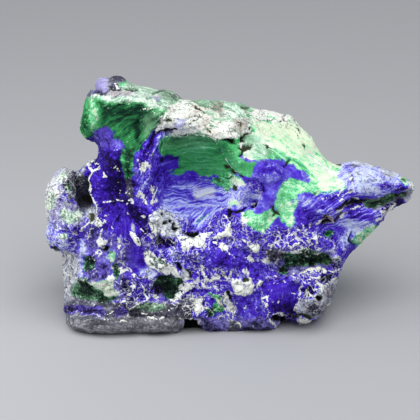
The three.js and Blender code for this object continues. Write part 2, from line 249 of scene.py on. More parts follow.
CRUST = [
    (SLATE, 0.7, 2, area(90, 84, 108, 74, 132, 76, 150, 84, 166, 88, 186, 90, 190, 98, 176, 98, 150, 98,
        120, 96, 98, 96)),
    (MALACHITE, 0.9, 2.5, area(94, 98, 104, 92, 112, 96, 126, 97, 140, 95, 156, 99, 164, 107, 163, 113,
        152, 107, 142, 104.5, 126, 103, 108, 103, 103, 100)),
    (MALACHITE, 0.74, 2.5, area(118, 85, 124, 80, 134, 80, 148, 84, 166, 88, 162, 95, 146, 95, 132, 92,
        122, 92)),
    (SLATE, 0.62, 1.5, area(106, 92, 118, 91, 132, 93, 131, 96.5, 118, 97, 108, 96)),
    (MALACHITE, 0.1, 1, stroke(2.6, 126, 90, 132, 90, 138.5, 88)),
    (SLATE, 0.14, 1.2, area(107, 87, 113, 85, 121, 87, 121, 91, 112, 90)),
    (CREAM, 0.9, 0.8, stroke(1.8, 113, 83, 117, 85.6, 120, 88)),
    (CREAM, 0.85, 0.8, stroke(1.5, 106, 91, 112, 89.6, 119, 91)),
    (MALACHITE, 0.45, 2, area(162, 90, 176, 88, 186, 92, 188, 100, 180, 103, 170, 101, 162, 98)),
    (MALACHITE, 0.2, 1.2, stroke(3, 166, 97, 174, 96.4, 180, 98)),
    (MALACHITE, 0.78, 2, area(160, 99, 170, 98, 176, 104, 168, 110, 162, 113, 157, 106)),
    (MALACHITE, 0.1, 0.8, stroke(2, 153, 94, 159, 92, 165, 91)),
    (DARK_AND_SHADE, 0.5, 0.8, stroke(1.6, 176, 93.4, 180, 94, 183, 97)),
    (SLATE, 0.44, 1, spot(103, 85.5, 8, 8)),
    (SLATE, 0.12, 1.5, stroke(4, 95, 90, 101, 93.6, 109, 90)),
    (SLATE, 0.08, 1, spot(117, 80, 8, 4.5)),
    (SLATE, 0.4, 1, spot(90.5, 94, 3.6, 4)),
    (CREAM, 0.85, 0.8, stroke(1.6, 94, 97, 99, 96, 104, 94)),
    (AZURITE, 0.4, 2, spot(101, 85, 8, 7.6)),
]
# The column below the lobe is low in tone, partly painted shade on a face turned from the light.
BLUE_FALL = [
    (AZURITE, 0.34, 4.5, area(94, 136, 97, 129, 106, 127, 112, 132, 112, 140, 122, 141, 125, 148, 118, 154,
        104, 152, 90, 144)),
    (AZURITE, 0.6, 2, area(112, 141, 121, 141, 124, 146, 116, 149, 110, 146)),
    (AZURITE, 0.15, 2, area(80, 138, 92, 138, 100, 146, 102, 156, 92, 156)),
    (AZURITE, 0.17, 3, area(92, 146, 108, 150, 122, 150, 126, 160, 128, 176, 130, 196, 140, 206, 153, 212,
        150, 232, 140, 242, 126, 234, 112, 230, 100, 216, 98, 198, 90, 186, 94, 172, 90, 156)),
    (AZURITE, 0.07, 3, area(108, 158, 122, 164, 125, 186, 125, 200, 112, 200, 106, 186, 104, 168)),
    (AZURITE, 0.3, 2.5, area(92, 178, 100, 172, 109, 173, 107, 185, 97, 197, 92, 190)),
    (AZURITE, 0.3, 3, area(102, 205, 124, 205, 138, 218, 142, 232, 130, 238, 114, 232, 104, 218)),
    (AZURITE, 0.1, 3, area(130, 207, 148, 210, 150, 222, 138, 227, 130, 216)),
    (SLATE, 0.25, 2.5, area(124, 174, 134, 176, 137, 188, 134, 202, 128, 198)),
    (MALACHITE, 0.24, 2, area(122, 148, 133, 152, 135, 176, 128, 178, 123, 168, 121, 158)),
    (MALACHITE, 0.08, 2.5, area(126, 158, 132, 162, 134, 176, 128, 176, 125, 166)),
    (MALACHITE, 0.7, 1, spot(123, 160, 1.6, 3)),
    (MALACHITE, 0.7, 1, spot(132.5, 165, 1.4, 3.4)),
    (AZURITE, 0.47, 3, area(134, 152, 150, 146, 162, 156, 161, 190, 158, 206, 150, 210, 137, 204,
        134, 186)),
    (AZURITE, 0.68, 3, area(135, 168, 146, 162, 150, 176, 148, 190, 138, 192)),
    (CREAM, 0.6, 2.5, area(138, 160, 147, 158, 149, 166, 144, 173, 138, 172)),
    (AZURITE, 0.15, 1.5, stroke(4, 134, 180, 136, 184, 136, 188)),
    (AZURITE, 0.9, 2, area(157, 137, 171, 133, 170, 141, 162, 147, 154, 152, 154, 143)),
    (AZURITE, 0.12, 1.4, stroke(6.5, 163, 118, 158, 128, 153, 137, 150, 147, 146, 157, 138, 162)),
    (AZURITE, 0.2, 1.2, stroke(3, 154, 151, 161, 146, 169, 141)),
    (AZURITE, 0.85, 1, stroke(1.6, 150, 172, 157, 166, 165, 163, 176, 160.4)),
    (AZURITE, 0.85, 1, stroke(1.4, 146, 181, 152, 176, 158, 174)),
]
SCOOP = [
    (MALACHITE, 0.52, 2, area(160, 141, 176, 133, 190, 130, 202, 130, 212, 138, 217, 142, 220, 150,
        224, 160, 233, 171, 230, 180, 214, 181, 198, 178, 190, 171, 176, 176, 166, 176, 168, 169, 178, 168,
        178, 158, 160, 156, 160, 148)),
    # The top of the scoop, darker: painted shade under the overhanging rim.
    (MALACHITE, 0.4, 3, area(166, 138, 178, 133, 196, 130, 208, 135, 216, 141, 204, 141, 186, 138,
        168, 143)),
    (MALACHITE, 0.6, 4, area(186, 154, 210, 151, 222, 159, 230, 171, 214, 174, 194, 168)),
    (MALACHITE, 0.9, 1.4, stroke(1.4, 186, 149.6, 200, 147.2, 214, 149.6)),
    (MALACHITE, 0.8, 1.2, stroke(1, 180, 144, 194, 142, 208, 144)),
    (MALACHITE, 0.66, 2, area(218, 142, 230, 145, 241, 150, 239, 156, 247, 160, 257, 162, 260, 168,
        252, 178, 240, 175, 232, 168, 226, 160, 221, 150)),
    (MALACHITE, 0.46, 3, area(219, 143, 232, 146, 240, 151, 232, 156, 224, 153)),
    (MALACHITE, 0.6, 2, area(214, 139, 226, 137, 240, 136, 248, 140, 250, 148, 246, 154, 236, 150, 226, 146,
        218, 144)),
    (MALACHITE, 0.9, 3, area(242, 137, 256, 132, 270, 138, 278, 150, 268, 161, 252, 161, 244, 156,
        242, 150)),
    (MALACHITE, 1, 2, area(228, 173, 238, 176, 247, 182, 245, 190, 236, 193, 229, 187)),
    (CREAM, 0.3, 1.4, area(233, 183, 239, 182, 242, 186, 237, 190, 233, 189)),
    (MALACHITE, 0.7, 2, stroke(2, 246, 140, 256, 138, 266, 142, 273, 149)),
    (MALACHITE, 0.7, 1.4, stroke(1.4, 246, 142, 256, 142, 264, 147, 268, 154)),
    (MALACHITE, 0.7, 1.4, stroke(1.4, 246, 147, 254, 147, 260, 151, 263, 158)),
    (AZURITE, 0.2, 1.6, stroke(5, 156, 159, 166, 157.6, 178, 158.6)),
    (AZURITE, 0.36, 1.6, area(150, 164, 160, 168, 170, 164, 178, 162, 178, 167, 168, 171, 176, 172,
        168, 176, 158, 178, 150, 176)),
    (AZURITE, 0.43, 1.6, area(155, 178, 170, 176, 180, 175, 189, 171, 196, 172, 199, 178, 195, 183,
        180, 183, 168, 188, 157, 192)),
    (AZURITE, 0.82, 3, area(158, 196, 168, 186, 180, 182, 196, 183, 212, 180, 226, 184, 234, 194, 230, 206,
        220, 212, 206, 224, 196, 232, 176, 226, 164, 214, 158, 206)),
    (AZURITE, 0.55, 3, area(156, 182, 164, 188, 163, 204, 158, 210, 155, 200)),
    (MALACHITE, 0.95, 3, stroke(2.6, 194, 197, 204, 194.6, 214, 192)),
    (MALACHITE, 0.68, 2, area(208, 177, 224, 178, 232, 184, 230, 192, 222, 188, 212, 182)),
    (AZURITE, 0.45, 2, stroke(4.5, 176, 191, 186, 193, 193, 199, 203, 203)),
    (AZURITE, 0.55, 2, stroke(3, 196, 176, 206, 177, 218, 177)),
    (AZURITE, 0.4, 3, area(178, 219, 190, 218, 196, 226, 194, 233, 184, 231)),
    (AZURITE, 0.38, 2.5, area(205, 227, 213, 217, 226, 213, 240, 214, 236, 222, 228, 226, 222, 233,
        208, 236)),
    (MALACHITE, 0.5, 1.4, stroke(1.6, 196, 225, 201, 219, 209, 214)),
    (AZURITE, 0.85, 2.5, area(225, 197, 234, 188, 250, 183, 262, 188, 262, 200, 254, 209, 240, 209,
        230, 212, 224, 206)),
    (MALACHITE, 0.95, 2.5, area(229, 203, 234, 199, 241, 201, 238, 206, 231, 207)),
    (AZURITE, 0.45, 2, area(246, 180, 258, 182, 262, 188, 256, 196, 250, 190)),
    (AZURITE, 0.9, 1.4, spot(254, 197, 4, 4)),
]
WHOLE_RIM = area(
    157, 121, 164, 112, 172, 106, 180, 100, 196, 94, 214, 92, 240, 92, 262, 98, 290, 106, 300, 124,
    286, 136, 262, 136, 244, 135, 236, 140, 222, 139, 212, 139, 204, 134, 198, 130, 190, 132, 176, 136,
    170, 133, 160, 135, 155, 132
)
RIM = [
    (MALACHITE, 0.74, 2, WHOLE_RIM),
    (CREAM, 0.74, 2, WHOLE_RIM),
    (CREAM, 0.9, 2.5, area(162, 118, 178, 110, 196, 111, 201, 118, 198, 128, 186, 134, 168, 128, 161, 127)),
    (CREAM, 0.86, 2.5, area(205, 124, 220, 118, 232, 124, 232, 134, 220, 139, 210, 136)),
    (CREAM, 0.5, 3, area(234, 119, 246, 119, 248, 128, 242, 135, 232, 134)),
    (MALACHITE, 0.6, 3, area(190, 102, 200, 96, 216, 96, 222, 102, 218, 110, 208, 110, 200, 106)),
    (CREAM, 0.3, 3, area(208, 106, 220, 102, 226, 108, 220, 113, 212, 112)),
    (MALACHITE, 0.76, 3, area(222, 101, 240, 94, 258, 98, 258, 110, 246, 117, 232, 116, 224, 110)),
    (CREAM, 0.93, 4, area(248, 112, 258, 109, 266, 112, 266, 119, 254, 122, 248, 119)),
    # The rind's right end, pale past 1: partly painted light where it faces the key light.
    (MALACHITE, 1.1, 4, area(250, 120, 264, 112, 288, 106, 304, 116, 318, 136, 336, 156, 330, 162, 306, 150,
        284, 140, 256, 136)),
    (CREAM, 0.9, 4, area(250, 116, 264, 109, 282, 112, 290, 118, 286, 124, 268, 124, 252, 122)),
    (CREAM, 0.85, 2, area(279, 112, 290, 110, 292, 122, 284, 122)),
    (CREAM, 0.2, 0.8, stroke(1.2, 284, 113, 291, 118, 296, 124, 302, 134)),
    (MALACHITE, 0.92, 3, area(206, 113, 222, 115, 236, 116, 232, 122, 214, 120)),
    (DARK_AND_SHADE, 0.6, 1, stroke(1.4, 240, 108, 244, 107, 250, 106)),
    (DARK_AND_SHADE, 0.5, 0.9, stroke(1.7, 184, 119, 192, 117, 201, 115)),
    (DARK_AND_SHADE, 0.7, 1.2, spot(169, 122, 4, 1.6)),
    (SLATE, 0.5, 1, stroke(1.6, 176, 120, 182, 119.6, 188, 120)),
    (AZURITE, 0.82, 1.4, spot(180, 124.4, 4.4, 3.4, -20)),
    # A dark line along the ledge's lower edge, over a crack: painted shade in the undercut.
    (AZURITE, 0.08, 0.8, stroke(2.8, 157, 134.4, 166, 132, 178.5, 129)),
    (DARK_AND_SHADE, 0.8, 0.8, stroke(1.5, 284, 116, 285, 121, 288, 122)),
    (DARK_AND_SHADE, 0.6, 0.8, stroke(1.6, 188, 124, 194, 122, 200, 118)),
    (DARK_AND_SHADE, 0.8, 0.8, stroke(1.6, 196, 108, 201, 110, 205, 113)),
    (DARK_AND_SHADE, 0.8, 0.7, stroke(1.5, 206, 125, 208, 129, 210, 133)),
    (DARK_AND_SHADE, 0.8, 0.7, stroke(1.5, 238, 121, 242, 124, 240, 129)),
    (DARK_AND_SHADE, 0.9, 0.8, stroke(1.5, 244, 133.6, 250, 133.6, 254, 132)),
    (DARK_AND_SHADE, 0.9, 0.7, stroke(1.2, 256, 119, 268, 120.4, 276, 119)),
    (DARK_AND_SHADE, 0.9, 0.7, spot(250, 129, 2, 1.2)),
    (DARK_AND_SHADE, 0.9, 0.7, spot(281, 121, 1.6, 1.2)),
    (DARK_AND_SHADE, 0.9, 0.7, stroke(1.2, 178, 133, 184, 134.6, 190, 132)),
    (DARK_AND_SHADE, 0.8, 0.7, stroke(1.2, 182, 104, 190, 105, 197, 108)),
]
# The slope below the rim faces the key light: its palest green and cream are partly painted light.
BRIGHT_SLOPE = [
    (MALACHITE, 1, 6, area(262, 140, 286, 136, 300, 136, 316, 142, 336, 160, 352, 170, 352, 182, 346, 192,
        318, 194, 304, 186, 304, 172, 292, 162, 280, 158, 264, 158)),
    (MALACHITE, 1, 6, area(272, 136, 294, 134, 308, 148, 326, 166, 344, 172, 346, 180, 330, 176, 316, 176,
        304, 166, 286, 152)),
    (CREAM, 1, 4, area(304, 152, 314, 156, 328, 168, 344, 174, 344, 178, 330, 174, 314, 166)),
    (MALACHITE, 0.85, 3, area(288, 160, 301, 156, 310, 165, 306, 172, 294, 170)),
    (MALACHITE, 1, 2.5, area(306, 134, 312, 136, 328, 148, 336, 158, 326, 158, 310, 140)),
    (MALACHITE, 0.8, 2.5, area(262, 150, 276, 148, 286, 154, 280, 158, 266, 158)),
    (DARK_AND_SHADE, 0.8, 0.4, stroke(1.5, 266, 144, 268, 147, 267, 151)),
    (DARK_AND_SHADE, 0.7, 0.2, stroke(0.9, 262, 146, 268, 147, 272, 150)),
    (DARK_AND_SHADE, 0.8, 0.2, stroke(0.9, 296, 131, 298, 134, 300, 141)),
    (DARK_AND_SHADE, 0.7, 0.2, stroke(0.8, 303, 145, 305, 148, 304, 152)),
    (DARK_AND_SHADE, 0.7, 0.2, stroke(0.7, 290, 124, 297, 128, 301, 134)),
    (DARK_AND_SHADE, 0.9, 0.7, stroke(1.4, 331, 163, 338, 165, 346, 167)),
    (MALACHITE, 0.86, 2, area(272, 192, 280, 182, 290, 177, 300, 178, 306, 184, 308, 192, 302, 197,
        300, 206, 296, 218, 290, 226, 282, 222, 278, 212, 273, 204)),
    (MALACHITE, 0.76, 2, area(278, 192, 288, 182, 298, 184, 298, 194, 288, 204, 280, 202)),
    (MALACHITE, 0.8, 1.5, area(309, 182, 318, 180, 320, 190, 314, 195, 309, 190)),
    (MALACHITE, 0.84, 1.6, area(240, 214, 248, 210, 262, 212, 272, 209, 279, 215, 273, 223, 262, 233,
        252, 229, 246, 224, 241, 221)),
    (CREAM, 0.85, 1.5, area(240, 214, 245, 212, 248, 218, 246, 224, 241, 221)),
    (AZURITE, 0.55, 1.6, area(250, 178, 255, 168, 261, 162, 269, 158.6, 277, 162, 284, 168, 292, 164,
        294, 172, 286, 179, 280, 185, 276, 191, 271, 188, 265, 182, 256, 181)),
    (AZURITE, 0.32, 1.4, stroke(3, 260, 171, 270, 169.6, 281, 174)),
    (AZURITE, 0.8, 1.4, area(264, 176, 270, 172, 276, 176, 274, 181, 267, 181)),
    (AZURITE, 0.48, 1.4, area(290, 171, 300, 171, 307, 175, 312, 180, 308, 184, 300, 178, 291, 176)),
    (AZURITE, 0.6, 1.8, area(262, 184, 270, 183, 277, 190, 276, 200, 270, 209, 260, 213, 254, 212, 258, 203,
        264, 195)),
    (AZURITE, 0.62, 0.9, stroke(2, 240.5, 156.4, 248, 159.6, 257, 163)),
    (CREAM, 0.95, 0.8, stroke(1.2, 243, 155.6, 250, 158.6, 256, 160.6)),
    (DARK_AND_SHADE, 0.05, 1, area(221, 140.4, 228, 138.6, 233, 140.6, 235.4, 144.6, 229, 143.6)),
    (DARK_AND_SHADE, 0.4, 1, area(240.5, 141, 243, 136, 246, 134, 245, 141, 242, 146)),
    (DARK_AND_SHADE, 0.9, 1, area(237, 147.6, 242, 146, 247, 144, 252.6, 145, 249, 149, 244, 150.4, 240, 149.4)),
    (CREAM, 0.97, 0.9, area(239.6, 143.6, 243, 142.4, 246, 144, 243, 146.4, 240, 146)),
    (DARK_AND_SHADE, 0.5, 0.7, stroke(1.9, 238.6, 157, 242, 153, 245, 149)),
    (CREAM, 0.75, 0.4, stroke(1.3, 214, 139, 217, 144, 220, 150, 225, 160, 232, 168, 240, 175)),
    (DARK_AND_SHADE, 1, 0.2, stroke(1, 222, 163.6, 229, 167, 236, 173, 243, 176.6)),
    (DARK_AND_SHADE, 0.6, 0.9, spot(226.6, 166.4, 2.6, 1.6, 30)),
    (DARK_AND_SHADE, 0.6, 0.9, spot(233, 171, 2.8, 1.8, 40)),
    (DARK_AND_SHADE, 0.6, 0.9, spot(242.4, 176, 3, 1.8, 20)),
    (DARK_AND_SHADE, 0.5, 0.8, stroke(1.6, 226, 177.6, 230, 177.6, 233, 176)),
    (DARK_AND_SHADE, 1, 0.4, area(232, 184, 239, 187, 236, 190, 232, 191)),
    (CREAM, 0.8, 0.9, stroke(1.8, 238, 185, 242, 184, 246, 184)),
    (AZURITE, 0.1, 1, stroke(2, 262, 185, 263, 190, 260, 193)),
    (AZURITE, 0.02, 1, spot(252.4, 204.4, 3.6, 2, -55)),
    (DARK_AND_SHADE, 0.1, 0.8, stroke(3, 228.6, 208, 230, 212.4, 229, 217)),
    (DARK_AND_SHADE, 0.1, 0.8, stroke(2, 231, 212, 237, 212.6, 243, 210, 246.6, 206)),
    (CREAM, 0.9, 0.8, stroke(2, 222, 213, 225, 216, 227, 217.6)),
    (CREAM, 0.9, 0.8, stroke(1.6, 223, 209.6, 227, 206.6, 230, 207)),
    (DARK_AND_SHADE, 0.6, 0.8, stroke(2, 284, 168, 286, 165, 289.6, 159)),
    (DARK_AND_SHADE, 0.9, 0.8, stroke(1.8, 273, 206, 275, 211, 280, 215)),
    (DARK_AND_SHADE, 0.8, 0.8, stroke(1.6, 272, 216, 275, 214, 279, 214)),
]
TAIL = [
    (AZURITE, 0.92, 2.5, area(338, 176, 344, 162, 356, 156, 376, 162, 396, 164, 408, 174, 420, 184,
        418, 190, 400, 187, 390, 193, 376, 193, 362, 197, 350, 193, 344, 184)),
    (SLATE, 0.88, 2, area(350, 158, 362, 158, 376, 164, 374, 169, 362, 167, 352, 164)),
    (SLATE, 0.8, 2, area(378, 170, 390, 167, 398, 172, 396, 177, 384, 177)),
    (AZURITE, 1.05, 2.5, area(354, 170, 366, 168, 378, 178, 378, 190, 364, 192, 354, 186)),
    (AZURITE, 0.9, 2, area(368, 177, 380, 178, 376, 188, 366, 188)),
    (SLATE, 0.25, 1, stroke(2, 345, 168, 352, 166.6, 358, 167)),
    (SLATE, 0.2, 1, stroke(2.2, 350, 172, 352, 176, 353, 181)),
    (AZURITE, 0.28, 1.6, area(380, 184, 388, 184, 393, 186, 390, 190, 382, 188)),
    (AZURITE, 0.2, 1.6, area(394, 187, 400, 184.6, 408, 188, 404, 192, 396, 192)),
    (MALACHITE, 0.75, 2, area(398, 177, 406, 175, 412, 182, 406, 186, 400, 182)),
    (DARK_AND_SHADE, 0.9, 1, stroke(2, 400, 180, 404, 179.6, 406, 182)),
    (CREAM, 0.97, 1.4, area(407, 183, 414, 182, 418, 187, 410, 189)),
    (AZURITE, 0.52, 2, area(292, 200, 298, 194, 312, 195, 330, 198, 345, 195, 358, 192, 364, 197, 366, 202,
        350, 203, 342, 209, 352, 206, 366, 208, 380, 209, 394, 206, 402, 206, 384, 222, 374, 230, 366, 226,
        356, 232, 346, 242, 330, 250, 310, 240, 298, 236, 292, 222)),
    (AZURITE, 0.78, 2.5, area(300, 197, 312, 198, 330, 198, 326, 204, 312, 206, 302, 206)),
    (AZURITE, 0.44, 2.5, area(296, 206, 304, 208, 314, 216, 312, 226, 300, 228, 294, 218)),
    (AZURITE, 0.47, 2, area(320, 202, 334, 200, 340, 204, 334, 210, 322, 210)),
    (AZURITE, 0.45, 2, area(345, 211, 360, 208.6, 368, 213, 366, 219, 352, 217.6, 345, 215)),
    (AZURITE, 0.45, 2, area(322, 236, 330, 234, 336, 242, 334, 250, 324, 250)),
    (AZURITE, 0.92, 2, area(336, 224, 342, 218, 350, 217, 362, 221, 370, 223, 360, 228, 350, 230,
        344, 228)),
    (MALACHITE, 0.96, 2.5, area(286, 226, 289, 208, 296, 198, 300, 196, 296, 210, 292, 226)),
    (AZURITE, 0.9, 1.6, area(314, 209, 320, 207, 322, 212, 316, 214)),
    (SLATE, 0.85, 1.6, area(362, 201, 370, 198, 384, 197, 396, 193, 410, 188, 420, 188, 418, 195, 404, 204,
        388, 207, 376, 210, 366, 208)),
    (MALACHITE, 0.35, 1.6, area(364, 202, 378, 199, 392, 196, 406, 191, 406, 197, 390, 203, 372, 207)),
    (MALACHITE, 0.5, 1.4, area(382, 197, 392, 194.6, 398, 197, 394, 201, 385, 202)),
    # A black band along the tail's lower edge, over a crack: painted shade under the tail.
    (AZURITE, 0.05, 1.4, stroke(6, 384, 209, 394, 206, 404, 203)),
    (CREAM, 0.9, 0.8, stroke(1.8, 378, 213, 388, 209, 396, 203.6)),
    (CREAM, 0.85, 0.8, stroke(1.6, 376, 220, 384, 214, 392, 210)),
    # A dark band below the tail's bright end: painted shadow, over a crack.
    (SLATE, 0.08, 1.2, stroke(4.6, 338, 210, 347, 204, 355, 202, 364, 202)),
    (CREAM, 0.97, 0.8, stroke(2, 351, 200, 356, 199.6, 361, 198.6)),
    (CREAM, 0.97, 0.8, stroke(2.4, 349, 209, 355, 208.4, 361, 206.6)),
    (CREAM, 0.97, 1, stroke(3.4, 334, 199, 340, 192, 346, 186, 352, 178)),
    (CREAM, 0.97, 0.9, stroke(2, 339, 201, 346, 194, 354, 190)),
    (CREAM, 0.95, 0.8, stroke(1.6, 322, 198, 332, 196, 338, 193)),
    (SLATE, 0.1, 1, area(321, 218, 325, 213, 329, 215, 329, 222, 324, 226, 320, 224)),
    (CREAM, 0.95, 0.9, area(313, 223, 318, 219, 323, 216, 319, 223, 315, 227)),
    (CREAM, 0.45, 1, spot(330.6, 218.6, 3.4, 4)),
    (DARK_AND_SHADE, 0.4, 1, stroke(2.4, 333, 221, 336, 217, 342, 212)),
    (CREAM, 0.9, 0.8, stroke(1.4, 340, 217, 346, 213, 350, 212)),
    (MALACHITE, 0.85, 1, spot(328.6, 233.6, 6, 4.4)),
    (AZURITE, 0.1, 0.8, ring(1.6, 328.6, 233.6, 5.4, 3.8)),
    (MALACHITE, 0.3, 0.8, spot(328.6, 233.6, 3.4, 2.2)),
    (AZURITE, 0.96, 1.6, area(340, 236, 347, 229, 356, 226, 368, 222, 374, 226, 362, 230, 352, 236,
        349, 245, 342, 249, 337, 244)),
    (MALACHITE, 0.8, 1.4, area(350, 240, 353, 234, 360, 230, 372, 224, 380, 226, 372, 236, 362, 244,
        352, 245)),
    (DARK_AND_SHADE, 0.6, 0.8, stroke(2, 351.6, 231, 349, 237, 348.6, 241, 354, 245)),
]
LOWER_LEFT = [
    (SLATE, 0.74, 2.5, area(52, 252, 66, 250, 76, 256, 82, 268, 80, 284, 76, 300, 56, 306, 54, 280)),
    (AZURITE, 0.4, 2, area(102, 216, 122, 222, 132, 234, 126, 246, 112, 242, 104, 232)),
    (AZURITE, 0.35, 1.2, area(90, 232, 97, 229, 99, 240, 98, 250, 90, 252, 88, 242)),
    (AZURITE, 0.3, 1.2, area(81, 229, 87, 225, 88, 234, 83, 237)),
    (CREAM, 0.95, 1.2, area(95, 224, 97, 218.6, 103, 218, 106.4, 222, 103, 227, 97, 228.6)),
    (CREAM, 0.97, 1.2, area(98, 240, 103, 236.6, 108.6, 241, 106, 246, 100, 245.6)),
    (DARK_AND_SHADE, 0.05, 0.8, spot(105.4, 248.6, 3.2, 3)),
    (AZURITE, 0.97, 2, area(79, 238, 86, 239, 88, 252, 84, 257, 79, 251)),
    (AZURITE, 0.97, 1, stroke(4.4, 82, 254, 83, 266, 80, 278)),
    (AZURITE, 0.97, 0.8, stroke(3, 77, 279, 76, 286, 77, 294)),
    (MALACHITE, 0.1, 2, area(83, 258, 92, 255, 96, 264, 90, 272, 84, 272)),
    (AZURITE, 0.4, 1.4, area(99, 252, 107, 252, 108, 262, 101, 263)),
    (AZURITE, 0.28, 1.6, area(98, 264, 110, 261, 113, 270, 104, 276, 98, 273)),
    (AZURITE, 0.18, 1.6, area(86, 270, 98, 272, 102, 279, 90, 281)),
    (CREAM, 0.95, 0.7, stroke(1.6, 92, 270, 95, 269, 97, 272, 94, 273.6)),
    (MALACHITE, 0.88, 1.6, area(108, 250, 117, 252, 113, 262, 107, 258)),
    (MALACHITE, 0.2, 2.5, area(112, 263, 119, 264, 121, 272, 117, 280, 112, 274)),
    (CREAM, 0.9, 1.4, area(120, 269, 124, 262, 128, 266, 127, 273, 121, 277)),
    (MALACHITE, 0.25, 2, area(76, 280, 86, 282, 100, 290, 110, 296, 118, 298, 104, 302, 86, 299, 72, 294)),
    (MALACHITE, 0.1, 1.4, area(78, 279, 87, 278, 92, 290, 80, 292)),
    (CREAM, 0.85, 1.2, area(103, 279, 108, 274, 114, 277, 116, 282, 110, 284)),
    (MALACHITE, 1.2, 1, area(91, 284, 97, 280, 106, 279, 113, 283, 119, 293, 115, 297, 107, 296, 101, 292,
        95, 288)),
    (CREAM, 0.95, 0.8, area(98, 283, 105, 280, 111, 284, 107, 288)),
    (MALACHITE, 0.35, 1, stroke(2, 96, 296, 104, 297, 112, 300)),
    (AZURITE, 0.2, 1.6, area(121, 276, 129, 277, 130, 290, 126, 298, 121, 294)),
    (AZURITE, 0.4, 1.6, area(137, 285, 142, 284, 147, 294, 144, 300, 134, 301, 134, 292)),
    (AZURITE, 0.2, 1.2, area(126, 300, 132, 299, 134, 304, 128, 308)),
    (AZURITE, 0.3, 2.5, area(116, 240, 142, 238, 152, 250, 146, 266, 134, 274, 122, 270, 116, 256)),
    (AZURITE, 0.56, 2.5, area(128, 257, 138, 256, 140, 266, 130, 269)),
    (AZURITE, 0.94, 2, area(139, 269, 150, 266, 157, 272, 150, 277, 141, 275)),
    (SLATE, 0.97, 2, area(150, 216, 158, 209, 168, 211, 178, 222, 182, 234, 172, 238, 156, 234, 150, 226)),
    (CREAM, 0.86, 1.4, area(151, 224, 156, 221, 158, 230, 156, 236, 151, 233)),
    (DARK_AND_SHADE, 0.05, 0.7, spot(169, 220.4, 2.2, 2.4)),
    (DARK_AND_SHADE, 0.05, 0.7, spot(173, 225, 1.8, 2)),
    (DARK_AND_SHADE, 0.05, 0.7, spot(175, 229.6, 2.4, 2.6)),
    (DARK_AND_SHADE, 0.05, 0.7, spot(161, 216, 1.4, 1.6)),
    (DARK_AND_SHADE, 0.05, 0.7, spot(163.6, 222, 1.5, 1.4)),
    (AZURITE, 0, 1, area(155, 239, 159, 236.6, 163, 238, 165, 243, 161, 246, 156, 244)),
    (AZURITE, 0.1, 1.4, area(165, 240, 172, 239, 176, 244, 172, 248, 166, 246)),
    (CREAM, 0.6, 0.8, stroke(2, 177, 238, 183, 242, 184, 249)),
    (AZURITE, 0.6, 2.5, area(163, 247, 176, 248, 184, 256, 180, 264, 170, 260)),
    (CREAM, 0.84, 2, area(143, 252, 150, 251, 160, 254, 170, 263, 180, 272, 182, 278, 172, 276, 160, 271,
        150, 268, 145, 262)),
    (MALACHITE, 0.2, 0.9, stroke(3, 154, 257, 161, 262, 167, 266)),
    (MALACHITE, 0.3, 0.8, stroke(1.8, 149, 259, 155, 264, 162, 268)),
    (DARK_AND_SHADE, 0.1, 0.9, area(173, 262, 179, 264, 183, 270, 178.6, 269)),
    (MALACHITE, 0.15, 1.8, area(152, 284, 158, 276, 170, 275, 183, 279, 182, 286, 176, 291, 174, 299,
        166, 299, 163, 293, 153, 293)),
    (MALACHITE, 0.36, 1.4, area(168, 280, 176, 278, 182, 280, 180, 285, 172, 287)),
    (MALACHITE, 0.34, 1.4, area(166, 291, 172, 290, 173, 297, 168, 299)),
    (AZURITE, 0.1, 1.6, area(150, 286, 158, 285, 162, 292, 154, 296)),
    (MALACHITE, 0.34, 1.4, area(134, 306, 146, 302, 160, 304, 167, 308, 157, 313, 144, 312)),
    (AZURITE, 0.1, 1, area(115, 310, 121, 306.6, 127, 310, 127, 315, 120, 318, 115, 315)),
    (CREAM, 1, 0.3, area(128.6, 233, 131, 231, 134, 233, 138, 239, 141, 244.4, 137.6, 245, 132.6, 240)),
    (SLATE, 0.9, 0.9, stroke(3, 131.6, 224, 133, 228, 133.6, 232)),
    (DARK_AND_SHADE, 0.5, 0.1, stroke(0.6, 133.6, 234, 136, 238, 138.6, 242)),
]
